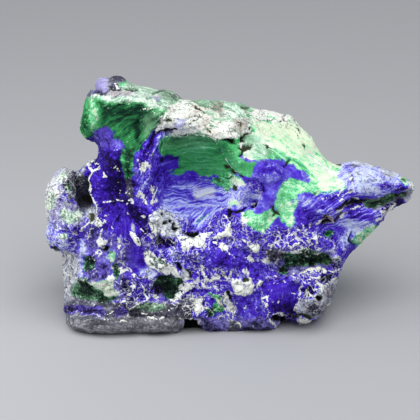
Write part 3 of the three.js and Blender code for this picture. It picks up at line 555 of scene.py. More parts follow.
WHITE_LINES = [
    (CREAM, 0.9, 0.8, ring(2.2, 95.4, 167.6, 4.8, 4.4)),
    (CREAM, 0.93, 0.7, stroke(2.2, 94, 173, 91, 178, 89, 183, 89.4, 187.6)),
    (CREAM, 0.93, 0.7, ring(1.4, 90, 187.6, 2, 2.4)),
    (CREAM, 0.93, 0.7, stroke(1.8, 92, 190, 94.4, 196, 98, 203, 99.6, 211, 99, 219)),
    (CREAM, 0.93, 0.7, stroke(1.7, 102, 203.4, 110, 202, 117, 199.6, 122, 201.4, 131, 200, 134, 206)),
    (CREAM, 0.9, 1.6, area(138.6, 192, 142, 191, 145, 196, 144.6, 204, 142.6, 204, 142, 199, 139, 198)),
    (CREAM, 0.9, 1.6, area(149, 186, 152, 183.6, 155.6, 186, 155, 192, 154, 198, 156.6, 201, 152, 205.6,
        150.6, 202, 152, 197, 149.6, 192)),
    (DARK_AND_SHADE, 0.1, 0.8, spot(152.6, 185.4, 1.3, 1.1)),
    (DARK_AND_SHADE, 0.3, 0.8, spot(152.4, 192, 0.9, 1.3)),
    (CREAM, 0.9, 0.7, area(103.6, 177.6, 105, 172, 108.6, 176.6)),
    (CREAM, 0.9, 0.7, spot(113.6, 168, 1.4, 2)),
    (CREAM, 0.9, 0.7, spot(117, 169.6, 1.6, 1.3)),
    (CREAM, 0.95, 0.6, spot(116.4, 182.6, 1.1, 1.1)),
    (CREAM, 0.9, 0.6, stroke(1.5, 117.4, 188, 119, 193.6)),
    (CREAM, 0.9, 0.7, stroke(1.7, 125, 194, 128, 189, 131, 187)),
    (CREAM, 0.9, 0.7, stroke(1.7, 128, 191, 132, 196, 134, 202)),
    (CREAM, 0.95, 0.7, spot(143.6, 216.2, 1.7, 1.4)),
    (CREAM, 0.95, 0.7, stroke(1.7, 148, 215.6, 153, 213, 157, 210)),
    (CREAM, 0.95, 0.6, spot(105.6, 215, 1, 1.6, 20)),
    (CREAM, 0.95, 0.6, stroke(1.2, 110.6, 226, 114, 229.6)),
    (CREAM, 0.95, 0.6, spot(126.6, 203.4, 1.3, 1)),
    (CREAM, 0.9, 0.6, spot(128, 215, 1, 1.4)),
    (CREAM, 0.95, 0.7, stroke(2, 97, 229, 91, 229, 88.6, 236, 87.6, 241)),
    (CREAM, 0.95, 0.7, stroke(1.8, 103, 227, 102, 234, 99, 241)),
    (CREAM, 0.93, 0.7, stroke(1.8, 80, 232, 84, 227, 90, 224, 96, 222)),
    (CREAM, 0.95, 0.7, stroke(1.8, 112, 236, 112, 243, 110, 249)),
    (CREAM, 0.95, 0.7, stroke(2, 104, 247, 98, 252, 92, 258, 88, 262)),
    (CREAM, 0.93, 0.7, stroke(1.6, 102, 252, 98, 258, 94, 262)),
    (CREAM, 0.95, 0.7, stroke(1.8, 118, 250, 120, 242, 119, 236)),
    (CREAM, 0.95, 0.7, stroke(1.8, 140, 229, 145, 234, 149, 238, 152, 238)),
    (CREAM, 0.95, 0.7, stroke(3, 135, 275, 134, 284, 131, 293, 127, 299, 121, 304)),
    (CREAM, 0.95, 0.7, stroke(2.2, 135, 285, 139.6, 282, 143, 290, 146, 300)),
    (CREAM, 0.95, 0.7, stroke(2.6, 148, 297, 143, 301, 137, 304, 131, 308)),
    (CREAM, 0.95, 0.7, stroke(2, 119, 276, 124, 272, 129, 271)),
    (CREAM, 0.95, 0.7, stroke(2, 149, 282, 148, 290, 149, 298)),
    (CREAM, 0.95, 0.7, stroke(2, 128, 300, 127, 306, 131, 311)),
    (CREAM, 0.95, 0.8, area(178, 286, 185, 283, 195, 284, 197, 288, 190, 292, 181, 296, 175, 302, 169, 303,
        174, 296)),
    (AZURITE, 0.05, 0.8, stroke(2.2, 182, 297, 189, 292, 196, 291)),
    (CREAM, 0.95, 0.8, area(152, 293, 158, 294, 158, 299, 154, 299)),
    (CREAM, 0.95, 0.2, stroke(0.9, 123, 264, 130, 270, 134, 278, 130, 287, 127, 295, 132, 298, 138, 298)),
    (CREAM, 0.9, 0.2, stroke(0.9, 138, 298, 145, 291, 143, 282, 141, 274, 146, 272, 152, 268)),
    (CREAM, 0.9, 0.2, stroke(0.8, 127, 295, 122, 302, 118, 307)),
    (CREAM, 0.85, 0.2, stroke(0.8, 134, 278, 141, 280, 148, 276, 154, 279)),
    (CREAM, 0.85, 0.2, stroke(0.8, 97, 232, 101, 238, 100, 246, 96, 252, 92, 258)),
    (CREAM, 0.85, 0.2, stroke(0.8, 86, 232, 90, 240, 88, 250, 84, 256)),
    (CREAM, 0.8, 0.2, stroke(0.8, 112, 268, 119, 262, 124, 264)),
    (CREAM, 1, 0.6, area(210, 240, 214, 239, 220, 242, 228, 250, 224, 252, 218, 247)),
    (CREAM, 1, 0.6, area(241, 239, 250, 240, 259, 246, 255, 250, 248, 246)),
    (CREAM, 0.95, 0.2, stroke(1, 199, 270, 204, 276, 211, 279, 218, 277)),
    (CREAM, 0.95, 0.2, stroke(0.9, 204, 276, 202, 284, 206, 290)),
    (CREAM, 0.95, 0.2, stroke(0.9, 211, 279, 214, 286, 222, 288, 229, 284)),
    (CREAM, 0.95, 0.2, stroke(0.9, 229, 290, 222, 296, 218, 304, 222, 312)),
    (CREAM, 1, 0.2, stroke(1.1, 268, 297, 267, 306, 270, 314, 276, 318)),
    (CREAM, 0.95, 0.2, stroke(0.9, 226, 250, 230, 256, 236, 258)),
    (CREAM, 0.95, 0.2, stroke(0.9, 186, 262, 192, 256, 200, 252, 206, 248)),
    (CREAM, 0.95, 0.2, stroke(0.9, 172, 247, 178, 254, 186, 256)),
]
CENTRE = [
    (CREAM, 0.93, 1.2, area(180, 237, 190, 238, 200, 235, 205, 239, 207, 248, 201, 250, 192, 248,
        182, 250)),
    (CREAM, 0.9, 0.9, stroke(3.4, 200, 238, 206, 236, 213, 232)),
    (DARK_AND_SHADE, 0.03, 0.9, area(182, 233.6, 190, 232.6, 197, 233.6, 199, 235.4, 195, 238.4, 188, 236)),
    (CREAM, 0.96, 1, area(213, 238, 220, 232, 227, 227, 230, 221.6, 233, 228, 231.6, 235, 223, 236,
        218, 240)),
    (CREAM, 0.96, 1, area(211, 241.6, 220, 242, 226, 246, 230, 251, 226, 253.6, 219, 247)),
    (CREAM, 0.96, 1, area(241, 240, 250, 238.6, 258, 243, 260.6, 247.6, 254, 251, 252, 246, 246, 242)),
    (CREAM, 0.94, 1, area(242, 257, 248, 253, 254, 257, 259, 262, 250, 260.6)),
    (CREAM, 0.95, 0.9, area(261, 262, 265, 256, 269, 250, 269.6, 262, 264, 263)),
    (AZURITE, 0.45, 3, area(200, 254, 212, 248, 230, 252, 246, 248, 247, 262, 240, 270, 222, 268,
        206, 268)),
    (AZURITE, 0.24, 2.5, area(216, 254, 230, 254, 232, 266, 218, 267)),
    (AZURITE, 0.44, 2.5, area(246, 266, 256, 262, 268, 272, 266, 284, 252, 278)),
    (AZURITE, 0.45, 2.5, area(240, 298, 252, 294, 263, 298, 266, 314, 256, 320, 240, 316)),
    (AZURITE, 0.43, 2.5, area(262, 282, 282, 276, 300, 284, 300, 296, 296, 312, 276, 312, 266, 302)),
    (AZURITE, 0.2, 3, area(268, 297, 284, 298, 298, 299, 293, 316, 276, 315, 269, 307)),
    (AZURITE, 0.05, 2, area(286, 308, 298, 306, 296, 320, 286, 318)),
    (AZURITE, 0.42, 2, area(195, 276, 204, 274, 208, 282, 200, 286, 195, 283)),
    (AZURITE, 0.5, 2, area(208, 284, 218, 281, 230, 284, 228, 292, 216, 293)),
    (CREAM, 0.97, 1.1, area(230, 284, 236, 277, 242, 282, 248, 277, 254, 283, 252, 290, 246, 296, 240, 294,
        234, 292)),
    (DARK_AND_SHADE, 0.9, 0.9, area(242, 280, 244, 278, 248, 279, 246.6, 282, 243, 282)),
    (CREAM, 0.95, 0.8, stroke(2.4, 231, 270, 231, 277, 235, 283)),
    (CREAM, 0.95, 0.8, area(240, 268, 247, 267, 246, 273, 242, 273)),
    (CREAM, 0.94, 0.8, stroke(3, 201, 262, 203, 270, 207, 277, 210, 282)),
    (CREAM, 0.93, 0.9, area(206, 278, 212, 276, 217, 278.6, 214, 281.6, 208, 281)),
    (CREAM, 0.93, 0.8, stroke(2.6, 222, 268, 224, 275, 228, 279)),
    (CREAM, 0.93, 0.8, stroke(2, 214, 273, 220, 277, 226, 276)),
    (SLATE, 0.85, 1.4, area(182, 268, 188, 270, 190, 278, 184, 282, 180, 277)),
    (DARK_AND_SHADE, 0.2, 0.8, stroke(1.8, 186, 269.6, 191, 274, 191, 281)),
    (MALACHITE, 0.46, 1.4, area(208, 293, 218, 293, 222, 298, 221, 303, 225, 308, 219, 314, 213, 309,
        215, 301)),
    (MALACHITE, 0.14, 1.4, area(206, 308, 213, 308, 216, 315, 208, 318)),
    (CREAM, 0.97, 0.8, area(217, 299, 221, 300, 220, 304, 217, 303)),
    (CREAM, 0.92, 0.9, area(221, 294, 227, 293, 230, 302, 226, 305, 222, 301)),
    (DARK_AND_SHADE, 0.1, 0.7, stroke(2.6, 227.4, 291, 229, 296, 231.4, 300)),
    (CREAM, 0.93, 1, area(224, 303, 232, 302, 236, 308, 232, 313, 227, 310)),
    (CREAM, 0.82, 1.6, area(193, 299, 201, 296, 207, 300, 206, 309, 198, 314, 193, 310)),
    (SLATE, 0.16, 2, area(176, 304, 182, 298, 193, 296, 194, 308, 188, 316, 178, 314)),
    (CREAM, 0.95, 0.7, spot(245, 307.4, 2, 1.6)),
    (CREAM, 0.95, 0.8, stroke(1.8, 263.6, 297, 265, 303, 268, 309, 268, 316, 272, 322, 277, 328)),
    (CREAM, 0.95, 0.8, stroke(1.6, 265, 298, 269, 296)),
    (CREAM, 0.95, 0.8, stroke(2, 271, 313, 279, 313, 287, 315)),
    (CREAM, 0.95, 0.9, area(256, 283, 260, 280, 263, 282, 262, 286, 257, 287)),
    (CREAM, 0.95, 0.7, stroke(1.4, 273, 283.4, 278, 284.6)),
    (CREAM, 0.95, 0.7, stroke(1.4, 282, 281, 286, 283)),
    (CREAM, 0.95, 0.7, stroke(1.6, 291, 293.4, 295, 293.6)),
    (CREAM, 0.9, 0.6, spot(278, 301, 0.9, 1.4)),
    (DARK_AND_SHADE, 0.05, 1, area(271, 317, 276, 314.6, 284, 317, 286, 320, 278, 322, 272, 320)),
]
RIGHT = [
    (CREAM, 0.97, 0.8, stroke(2.4, 289, 248, 298, 243, 308, 240, 316, 238)),
    (CREAM, 0.97, 0.8, stroke(2, 286, 243, 296, 238, 306, 234)),
    (CREAM, 0.97, 0.8, stroke(2, 296, 250, 304, 248.6, 312, 244)),
    (CREAM, 0.97, 0.8, stroke(1.8, 300, 232, 303, 227, 301, 222)),
    (CREAM, 0.97, 0.8, stroke(1.8, 304, 231, 309, 226, 311, 222)),
    (CREAM, 0.97, 0.8, stroke(2, 308, 231, 314, 235, 322, 238)),
    (CREAM, 0.5, 1.4, area(266, 249, 276, 246, 288, 250, 284, 260, 276, 262, 268, 260)),
    (SLATE, 0.3, 2, area(266, 251, 276, 248, 282, 254, 276, 261, 268, 259)),
    (MALACHITE, 0.24, 1.4, area(284, 253, 296, 250, 308, 249, 328, 253, 334, 260, 324, 265, 302, 267,
        290, 268, 284, 276, 278, 274, 282, 265)),
    (MALACHITE, 0.46, 1.6, area(290, 256, 300, 255, 303, 262, 296, 266, 290, 262)),
    (MALACHITE, 0.2, 2, area(312, 254, 326, 253, 330, 262, 314, 264)),
    (MALACHITE, 0.16, 1.4, area(278, 268, 289, 266, 287, 275, 280, 276)),
    (CREAM, 0.9, 0.8, area(289, 251, 296, 249, 302, 252, 296, 254)),
    (CREAM, 0.95, 0.6, stroke(1.6, 303, 253.6, 306, 250, 310, 253)),
    (CREAM, 0.95, 0.6, stroke(1.4, 314, 252, 319, 252)),
    (CREAM, 0.6, 0.6, ring(1.2, 306, 258, 1.8, 1.6)),
    (SLATE, 0.85, 0.8, spot(335, 258, 4.4, 4)),
    (DARK_AND_SHADE, 0.9, 0.8, spot(334.6, 258, 2, 1.8)),
    (AZURITE, 0.14, 1.2, area(328, 264, 334, 261, 341, 262, 338, 268, 331, 268)),
    (AZURITE, 0.46, 0.9, spot(280.4, 263.4, 4.4, 4)),
    (CREAM, 0.95, 0.7, stroke(2, 277.6, 267, 275.6, 262.6, 278, 259.6, 283, 259.4)),
    (AZURITE, 0.62, 2, area(286, 269, 300, 266, 320, 265, 326, 268, 310, 270, 296, 274, 290, 278)),
    (CREAM, 0.97, 0.8, stroke(3.2, 290, 277, 302, 273.4, 312, 270.4, 322, 269.4, 332, 271, 340, 268)),
    (CREAM, 0.88, 1, area(317, 270, 325, 270, 324, 276, 320, 275)),
    (AZURITE, 0.5, 1, spot(314.6, 274.6, 4, 3)),
    (CREAM, 0.95, 0.7, ring(1.6, 314.6, 275, 5, 3.8)),
    (SLATE, 0.7, 2, area(300, 299, 312, 297, 320, 290, 324, 283, 334, 276, 344, 278, 344, 296, 334, 306,
        328, 316, 316, 318, 304, 315, 296, 315)),
    (SLATE, 0.5, 2, area(324, 288, 334, 286, 334, 296, 328, 300, 323, 296)),
    (AZURITE, 0.12, 1.2, area(318, 280, 322, 276, 330, 274, 336, 275, 330, 281, 323, 284)),
    (CREAM, 0.95, 0.7, stroke(2, 299.6, 291, 303, 284, 309, 280.6, 316, 282, 321, 287)),
    (CREAM, 0.9, 0.7, ring(1.6, 318, 286.6, 3.4, 2.6)),
    (CREAM, 0.95, 0.7, stroke(1.8, 325, 284, 331, 281, 337, 277)),
    (AZURITE, 0.1, 1.2, area(302, 290, 307, 286, 313, 287, 316, 292, 312, 297, 303, 299)),
    (CREAM, 0.9, 0.6, stroke(1.3, 307, 290, 309.6, 293)),
    (CREAM, 0.9, 0.6, spot(311.6, 294.6, 1.4, 1.1)),
    (DARK_AND_SHADE, 0.05, 0.8, area(315.6, 297, 318, 295.6, 322, 298, 321, 301, 317.6, 300)),
    (SLATE, 0.16, 1.6, area(308, 303, 316, 301, 318, 308, 324, 313, 314, 315, 308, 310)),
    (CREAM, 0.95, 0.7, stroke(1.8, 322, 306, 326, 305, 328.6, 302.6)),
    (CREAM, 0.95, 0.7, stroke(2, 300.6, 290, 300, 297, 297, 305, 293.6, 313)),
    (DARK_AND_SHADE, 0.4, 1, stroke(3, 294, 316, 302, 314, 310, 316, 312, 320)),
    (CREAM, 0.72, 0.9, spot(304, 319, 7, 3, 6)),
]
LEFT_BOULDER = [
    (AZURITE, 0.48, 2.5, area(40, 200, 46, 184, 60, 170, 75, 164, 84, 172, 80, 215, 92, 226, 88, 252,
        70, 258, 50, 252, 40, 238)),
    (SLATE, 0.95, 2.5, area(40, 200, 46, 184, 56, 174, 66, 166, 76, 164, 76, 170, 64, 182, 56, 190, 51, 200,
        50, 214, 52, 230, 60, 244, 44, 246)),
    (MALACHITE, 0.96, 2, area(46, 198, 53, 189, 58, 196, 56, 206, 50, 211, 46, 208)),
    (MALACHITE, 0.93, 2, area(57, 178, 62, 172, 70, 170, 70, 178, 62, 182)),
    (SLATE, 0.35, 2.5, area(66, 172, 76, 168, 82, 174, 78, 186, 70, 192, 66, 184)),
    (AZURITE, 0.4, 1.6, area(59, 184, 65, 185, 66, 197, 60, 198)),
    (AZURITE, 0.42, 1.6, area(54, 200, 64, 199, 64, 206, 56, 207)),
    (SLATE, 0.6, 1.6, area(66, 190, 75, 190, 76, 198, 68, 200)),
    (SLATE, 0.92, 1.2, spot(67, 203.6, 3, 2.4)),
    (MALACHITE, 0.15, 1.4, area(62, 184, 70, 183, 74, 190, 68, 190)),
    # The cavity between the boulder and the column is darkened: painted shade in the hollow.
    (SLATE, 0.1, 3, area(75, 179, 84, 174, 91, 180, 89, 190, 94, 199, 92, 208, 84, 209, 77, 200, 74, 188)),
    (DARK_AND_SHADE, 0.8, 3, stroke(7, 83, 181, 85, 188, 86, 196, 89, 204)),
    (SLATE, 0.35, 1.6, area(76, 190, 82, 188, 84, 196, 79, 200)),
    (SLATE, 0.3, 1.6, area(76, 180, 82, 176, 84, 184, 78, 186)),
    (AZURITE, 0.12, 1.2, area(82, 176, 85, 168, 92, 164, 92, 170, 90, 178, 84, 180)),
    (SLATE, 0.6, 1.4, stroke(4, 83.6, 176, 85, 170, 91, 165)),
    (SLATE, 0.72, 2, area(84, 207, 92, 204, 98, 206, 99, 216, 94, 224, 86, 218)),
    (DARK_AND_SHADE, 0.9, 1.4, area(90, 214, 96, 212, 97, 220, 92, 224)),
    (MALACHITE, 0.95, 2.5, area(60, 210, 65, 207, 72, 213, 80, 208, 83, 216, 76, 222, 69, 226, 63, 220)),
    (MALACHITE, 0.3, 0.9, spot(65, 216, 2, 2.4)),
    (AZURITE, 0.32, 1.2, area(71, 226, 79, 224, 81, 231, 76, 238, 72, 233)),
    (AZURITE, 0.9, 2.5, area(46, 224, 58, 224, 66, 238, 70, 250, 60, 250, 48, 240)),
    (AZURITE, 0.45, 1.2, area(49, 234, 52, 233, 53, 239, 50, 240)),
    (AZURITE, 0.36, 1.4, area(68, 238, 76, 240, 74, 246, 70, 246)),
    (MALACHITE, 0.95, 1.2, spot(64, 236.4, 3.6, 2.8)),
    (DARK_AND_SHADE, 0.7, 1.4, area(50, 246, 56, 245.6, 62, 249, 68, 254, 60, 257, 52, 252)),
    (DARK_AND_SHADE, 0.8, 1.2, stroke(2.4, 66, 257, 73, 258, 79, 256)),
]
FOOT = [
    (SLATE, 0.2, 2, area(104, 305, 130, 304, 190, 305, 192, 319, 150, 318, 104, 318)),
    (SLATE, 0.36, 1.8, area(60, 297, 76, 297, 92, 299, 110, 301, 120, 305, 112, 309, 96, 307, 76, 306,
        60, 307)),
    (AZURITE, 0.1, 1, area(62, 307, 76, 306, 90, 307, 102, 308, 104, 316, 96, 315, 84, 313, 62, 313)),
    (SLATE, 0.4, 1.6, area(50, 314, 76, 314, 90, 316, 104, 320, 124, 318, 140, 319, 160, 317, 178, 321,
        186, 332, 184, 342, 50, 342)),
    (SLATE, 0.5, 2, stroke(4, 64, 322, 78, 327, 100, 329, 130, 327, 170, 325)),
    (SLATE, 0.1, 1.5, stroke(3, 70, 331, 84, 336, 120, 337, 176, 335)),
    (CREAM, 0.7, 0.1, stroke(0.6, 64, 311, 72, 312, 84, 313.4, 96, 315, 104, 319, 113, 320)),
    (CREAM, 0.8, 0.4, stroke(0.8, 104, 318, 109, 313, 116, 309)),
    (CREAM, 0.9, 0.4, stroke(1.1, 116, 320, 122, 321, 128, 323)),
    (CREAM, 0.9, 0.4, stroke(1, 127, 311, 128, 316, 126, 319)),
    (AZURITE, 0.1, 1.4, area(115, 308, 124, 307, 126, 316, 117, 316)),
    (CREAM, 0.95, 0.4, stroke(1.1, 140, 313, 147, 315, 153, 318, 157, 314)),
    (CREAM, 0.9, 0.4, stroke(1.1, 158, 313, 168, 314, 176, 315)),
    (CREAM, 0.9, 0.4, stroke(1.1, 146, 320, 151, 317, 158, 319, 166, 317)),
    (CREAM, 0.9, 0.4, stroke(1.1, 163, 309, 170, 311, 174, 308)),
    (CREAM, 0.9, 0.7, stroke(1.6, 170, 309, 178, 309, 184, 306)),
    (SLATE, 0.2, 1.6, area(164, 312, 180, 312, 192, 312, 192, 318, 178, 319)),
    (CREAM, 0.95, 0.5, stroke(1.2, 176, 314, 180, 319, 186, 318, 192, 317.6, 198, 323, 205, 331)),
    (DARK_AND_SHADE, 0.02, 1, area(183, 322, 186, 320, 193, 319.4, 199, 325, 204, 331, 204, 336, 186, 334)),
    (AZURITE, 0.17, 2, area(196, 317, 215, 321, 232, 322, 248, 321, 262, 319, 274, 324, 276, 332, 240, 336,
        206, 332)),
    (SLATE, 0.3, 2, area(226, 320, 240, 320, 240, 332, 226, 332)),
    (AZURITE, 0.5, 1.6, area(216, 322, 226, 320, 230, 326, 222, 329)),
    (CREAM, 0.85, 0.7, stroke(1.5, 236, 320, 240, 324, 242, 328)),
    (CREAM, 0.85, 0.7, stroke(1.5, 253, 321, 254, 325, 252, 328)),
    (CREAM, 0.85, 0.7, stroke(1.8, 217, 320, 219, 316.6, 223, 317)),
]
PATCHES = (
    LOBE + CRUST + BLUE_FALL + LEFT_BOULDER + SCOOP + RIM + BRIGHT_SLOPE + TAIL + FOOT + LOWER_LEFT
    + CENTRE + RIGHT + WHITE_LINES
)

# What else changes over the front, each a value, the softness of its edge, and the shape. LACE is
# how much of a white net lies over the mineral, STREAKS how strongly its fibres show, STAIN how
# rusty it is, and DULL how grey.

EVERYWHERE = area(0, 0, 420, 0, 420, 420, 0, 420)
LACE = [
    (0.3, 6, area(84, 240, 104, 222, 130, 240, 150, 206, 180, 212, 240, 216, 300, 232, 350, 236, 340, 310,
        270, 330, 180, 330, 110, 318, 60, 306, 60, 256)),
    (0, 4, area(126, 246, 142, 244, 150, 254, 146, 268, 132, 272, 124, 262)),
    (0.62, 4, area(148, 214, 160, 208, 172, 212, 186, 236, 190, 250, 170, 240, 152, 238)),
    (0.5, 4, area(182, 262, 200, 258, 206, 272, 230, 270, 232, 284, 206, 290, 184, 284)),
    (0.52, 4, area(268, 232, 300, 226, 320, 236, 318, 250, 288, 250, 268, 246)),
    (0.3, 4, area(104, 248, 122, 244, 126, 262, 118, 276, 104, 264)),
    (0.05, 3, area(264, 282, 284, 280, 300, 284, 298, 314, 268, 312)),
    (0.06, 3, area(203, 250, 240, 250, 262, 264, 264, 282, 252, 278, 240, 268, 206, 266)),
    (0.05, 3, area(92, 148, 126, 150, 134, 190, 150, 212, 140, 240, 104, 228, 94, 190)),
    (0.07, 4, area(134, 154, 150, 150, 160, 162, 156, 206, 138, 204)),
    (0.08, 4, area(124, 176, 136, 178, 136, 206, 124, 200)),
    (0.34, 3, area(46, 180, 72, 166, 84, 176, 76, 196, 84, 216, 90, 240, 66, 256, 46, 244)),
    (0.3, 3, area(84, 206, 100, 204, 104, 222, 92, 232, 80, 224)),
    (0.4, 3, area(56, 254, 82, 254, 80, 300, 58, 304)),
    (0.42, 3, area(170, 296, 206, 294, 208, 316, 176, 318)),
    (0.46, 3, area(222, 300, 242, 296, 244, 318, 224, 318)),
    (0.08, 2, area(70, 282, 86, 282, 100, 290, 110, 296, 118, 298, 104, 302, 86, 299, 72, 294)),
    (0.06, 2, area(152, 284, 158, 276, 170, 275, 183, 279, 182, 286, 176, 291, 174, 299, 166, 299,
        153, 293)),
    (0.1, 3, area(62, 298, 130, 304, 180, 308, 184, 318, 66, 316)),
    (0.12, 2, area(60, 318, 180, 320, 184, 336, 60, 336)),
    (0, 2, area(266, 248, 330, 252, 334, 266, 288, 276, 268, 262)),
    (0.42, 3, area(300, 298, 336, 280, 340, 300, 316, 318, 298, 316)),
    (0.2, 3, area(344, 164, 400, 170, 414, 188, 380, 194, 350, 194)),
    (0.3, 3, area(228, 182, 262, 182, 262, 204, 246, 210, 228, 210)),
    (0.28, 3, area(206, 214, 240, 212, 236, 224, 208, 234)),
    (0.05, 3, area(298, 198, 340, 196, 372, 210, 360, 224, 300, 226)),
    (0.34, 3, area(376, 208, 400, 202, 386, 222, 374, 226)),
    (0.2, 3, area(184, 212, 200, 214, 208, 232, 190, 234)),
    (0.06, 3, area(90, 136, 104, 144, 122, 152, 118, 166, 96, 160)),
    (0.2, 3, area(96, 76, 160, 84, 184, 92, 184, 102, 150, 98, 108, 98)),
    (0.12, 3, area(234, 294, 262, 290, 264, 318, 236, 320)),
    (0.07, 3, area(204, 318, 232, 322, 262, 319, 276, 324, 276, 334, 204, 334)),
    (0.28, 3, area(300, 298, 344, 276, 344, 300, 316, 318, 298, 316)),
    (0.14, 4, area(78, 226, 92, 222, 104, 228, 116, 236, 116, 276, 96, 280, 80, 276, 78, 250)),
    (0.04, 2, area(60, 304, 106, 304, 108, 318, 60, 318)),
]
STREAKS = [
    (0.2, 1, EVERYWHERE),
    (0.55, 3, area(100, 100, 162, 104, 162, 120, 142, 140, 124, 150, 104, 134)),
    (0.75, 3, area(104, 92, 140, 92, 164, 104, 160, 112, 124, 104, 104, 102)),
    (0.5, 3, area(148, 140, 164, 134, 200, 130, 256, 158, 250, 178, 150, 190)),
    (1.2, 4, area(160, 186, 200, 178, 230, 186, 226, 212, 196, 232, 162, 212)),
    (0.8, 3, area(156, 108, 200, 104, 290, 110, 300, 136, 246, 134, 212, 139, 160, 134)),
    (0.6, 3, area(262, 126, 300, 126, 350, 176, 320, 190, 262, 158)),
    (1.2, 3, area(292, 196, 380, 190, 400, 204, 380, 224, 316, 232)),
    (0.5, 3, area(340, 160, 400, 164, 416, 190, 350, 192)),
    (0.5, 3, area(60, 298, 184, 316, 184, 338, 60, 338)),
    (0.6, 3, area(100, 205, 150, 212, 150, 260, 110, 240)),
    (0.4, 4, area(262, 280, 300, 282, 296, 314, 266, 312)),
    (0.8, 3, area(143, 250, 162, 252, 184, 274, 180, 280, 150, 270)),
    (0.3, 3, area(268, 180, 308, 178, 296, 224, 244, 228, 240, 212)),
    (0.9, 3, area(134, 150, 148, 132, 160, 114, 172, 120, 170, 136, 163, 150, 162, 196, 150, 208,
        136, 202)),
    (0.15, 3, area(88, 127, 108, 125, 116, 138, 126, 144, 124, 154, 100, 152, 88, 146)),
]
STAIN = [
    (0.45, 3, area(192, 100, 206, 106, 226, 120, 212, 138, 200, 128, 190, 116)),
    (0.95, 2, spot(197, 113, 4.6, 3)),
    (0.95, 2, spot(207, 123.6, 3.6, 4)),
    (0.7, 2, spot(219, 109, 4.4, 2.6)),
    (0.45, 2, spot(170, 112, 6, 3, -30)),
    (0.15, 3, area(248, 108, 292, 112, 290, 124, 252, 122)),
    (0.5, 2, spot(286, 118, 4, 3)),
    (0.6, 2, area(232, 118, 246, 119, 244, 132, 232, 132)),
    (0.85, 1.5, spot(330.6, 218.6, 3.6, 4)),
    (0.7, 2, area(324, 287, 334, 285, 334, 296, 326, 300)),
    (0.35, 3, area(300, 300, 330, 296, 328, 314, 304, 314)),
    (0.6, 2, area(198, 300, 206, 300, 206, 308, 200, 309)),
    (0.5, 2, area(266, 249, 284, 248, 284, 260, 268, 260)),
    (0.5, 2, area(314, 254, 326, 254, 326, 263, 316, 264)),
    (0.5, 2, area(106, 91, 132, 92, 130, 97, 108, 96)),
    (0.3, 2, area(88, 98, 98, 100, 98, 132, 90, 130)),
    (0.7, 3, area(312, 252, 330, 253, 332, 263, 314, 265)),
    (0.8, 2, spot(217, 107, 6, 5)),
    (0.5, 3, area(362, 200, 392, 195, 396, 202, 370, 208)),
    (0.75, 2.5, spot(195, 113, 6, 4)),
    (0.7, 2, area(203, 119, 210, 118, 213, 126, 210, 133, 206, 128)),
    (0.15, 6, area(246, 112, 284, 112, 300, 128, 296, 140, 262, 130)),
    (0.3, 5, area(262, 122, 290, 124, 312, 144, 332, 162, 316, 160, 286, 144, 262, 140)),
]
DULL = [
    (0, 1, EVERYWHERE),
    (0.55, 3, area(94, 80, 184, 84, 190, 100, 164, 112, 104, 102)),
    (0.5, 3, area(190, 94, 262, 94, 262, 116, 222, 118, 190, 108)),
    (0.4, 4, area(240, 134, 268, 136, 276, 150, 262, 160, 242, 156)),
    (0.45, 3, area(84, 96, 98, 98, 98, 134, 86, 132)),
    (0.1, 3, area(140, 112, 164, 112, 152, 132, 138, 142)),
    (0.12, 3, area(164, 132, 200, 130, 216, 142, 200, 146, 164, 148)),
    (0.5, 2, area(192, 188, 216, 188, 214, 198, 194, 199)),
    (0.15, 3, area(56, 296, 186, 304, 186, 316, 50, 316)),
    (0.6, 3, area(50, 316, 186, 316, 186, 342, 50, 342)),
    (0.3, 3, area(52, 252, 82, 254, 80, 300, 54, 304)),
    (0.6, 3, area(134, 302, 167, 303, 160, 314, 136, 312)),
    (0, 1.5, area(92, 74, 128, 74, 127, 85, 110, 92, 94, 93)),
    (0.3, 3, area(264, 248, 332, 250, 336, 264, 288, 278, 266, 262)),
    (0.35, 3, area(364, 200, 392, 195, 414, 188, 418, 192, 392, 204, 370, 208)),
    (0.3, 3, area(196, 318, 280, 320, 280, 336, 196, 336)),
    (0.5, 3, area(44, 186, 58, 172, 74, 168, 70, 182, 60, 200, 84, 206, 84, 226, 60, 226, 46, 214)),
    (0.15, 5, area(84, 222, 130, 246, 126, 300, 80, 300)),
    (0.5, 2, area(130, 303, 168, 303, 168, 314, 130, 314)),
    (0.5, 4, area(157, 121, 172, 106, 196, 96, 214, 98, 240, 104, 258, 122, 244, 135, 222, 139, 204, 134,
        176, 136, 155, 132)),
    (0, 3, area(84, 98, 104, 102, 140, 103, 163, 112, 152, 130, 143, 150, 124, 154, 96, 150, 74, 130)),
    (0.3, 3, area(142, 117, 158, 110, 163, 116, 152, 130, 143, 139)),
    (0.1, 3, area(94, 126, 106, 124, 112, 138, 124, 142, 124, 150, 100, 148, 92, 138)),
    (0.5, 2, spot(101, 85, 9, 9)),
    (0.3, 2, area(76, 278, 90, 280, 104, 292, 116, 298, 104, 303, 84, 300, 72, 294)),
    (0.25, 2, area(152, 276, 170, 274, 184, 279, 176, 292, 172, 300, 160, 298, 152, 290)),
    (0.05, 3, area(246, 112, 262, 106, 286, 108, 304, 124, 296, 130, 268, 128, 248, 124)),
]

# How broken the surface is, in mm: the net of crests, the grains, the ridges along the fibres and
# the rough lumps, then the softness and the shape. GROUND_BEHIND is the same for the surfaces that
# face away from the board.

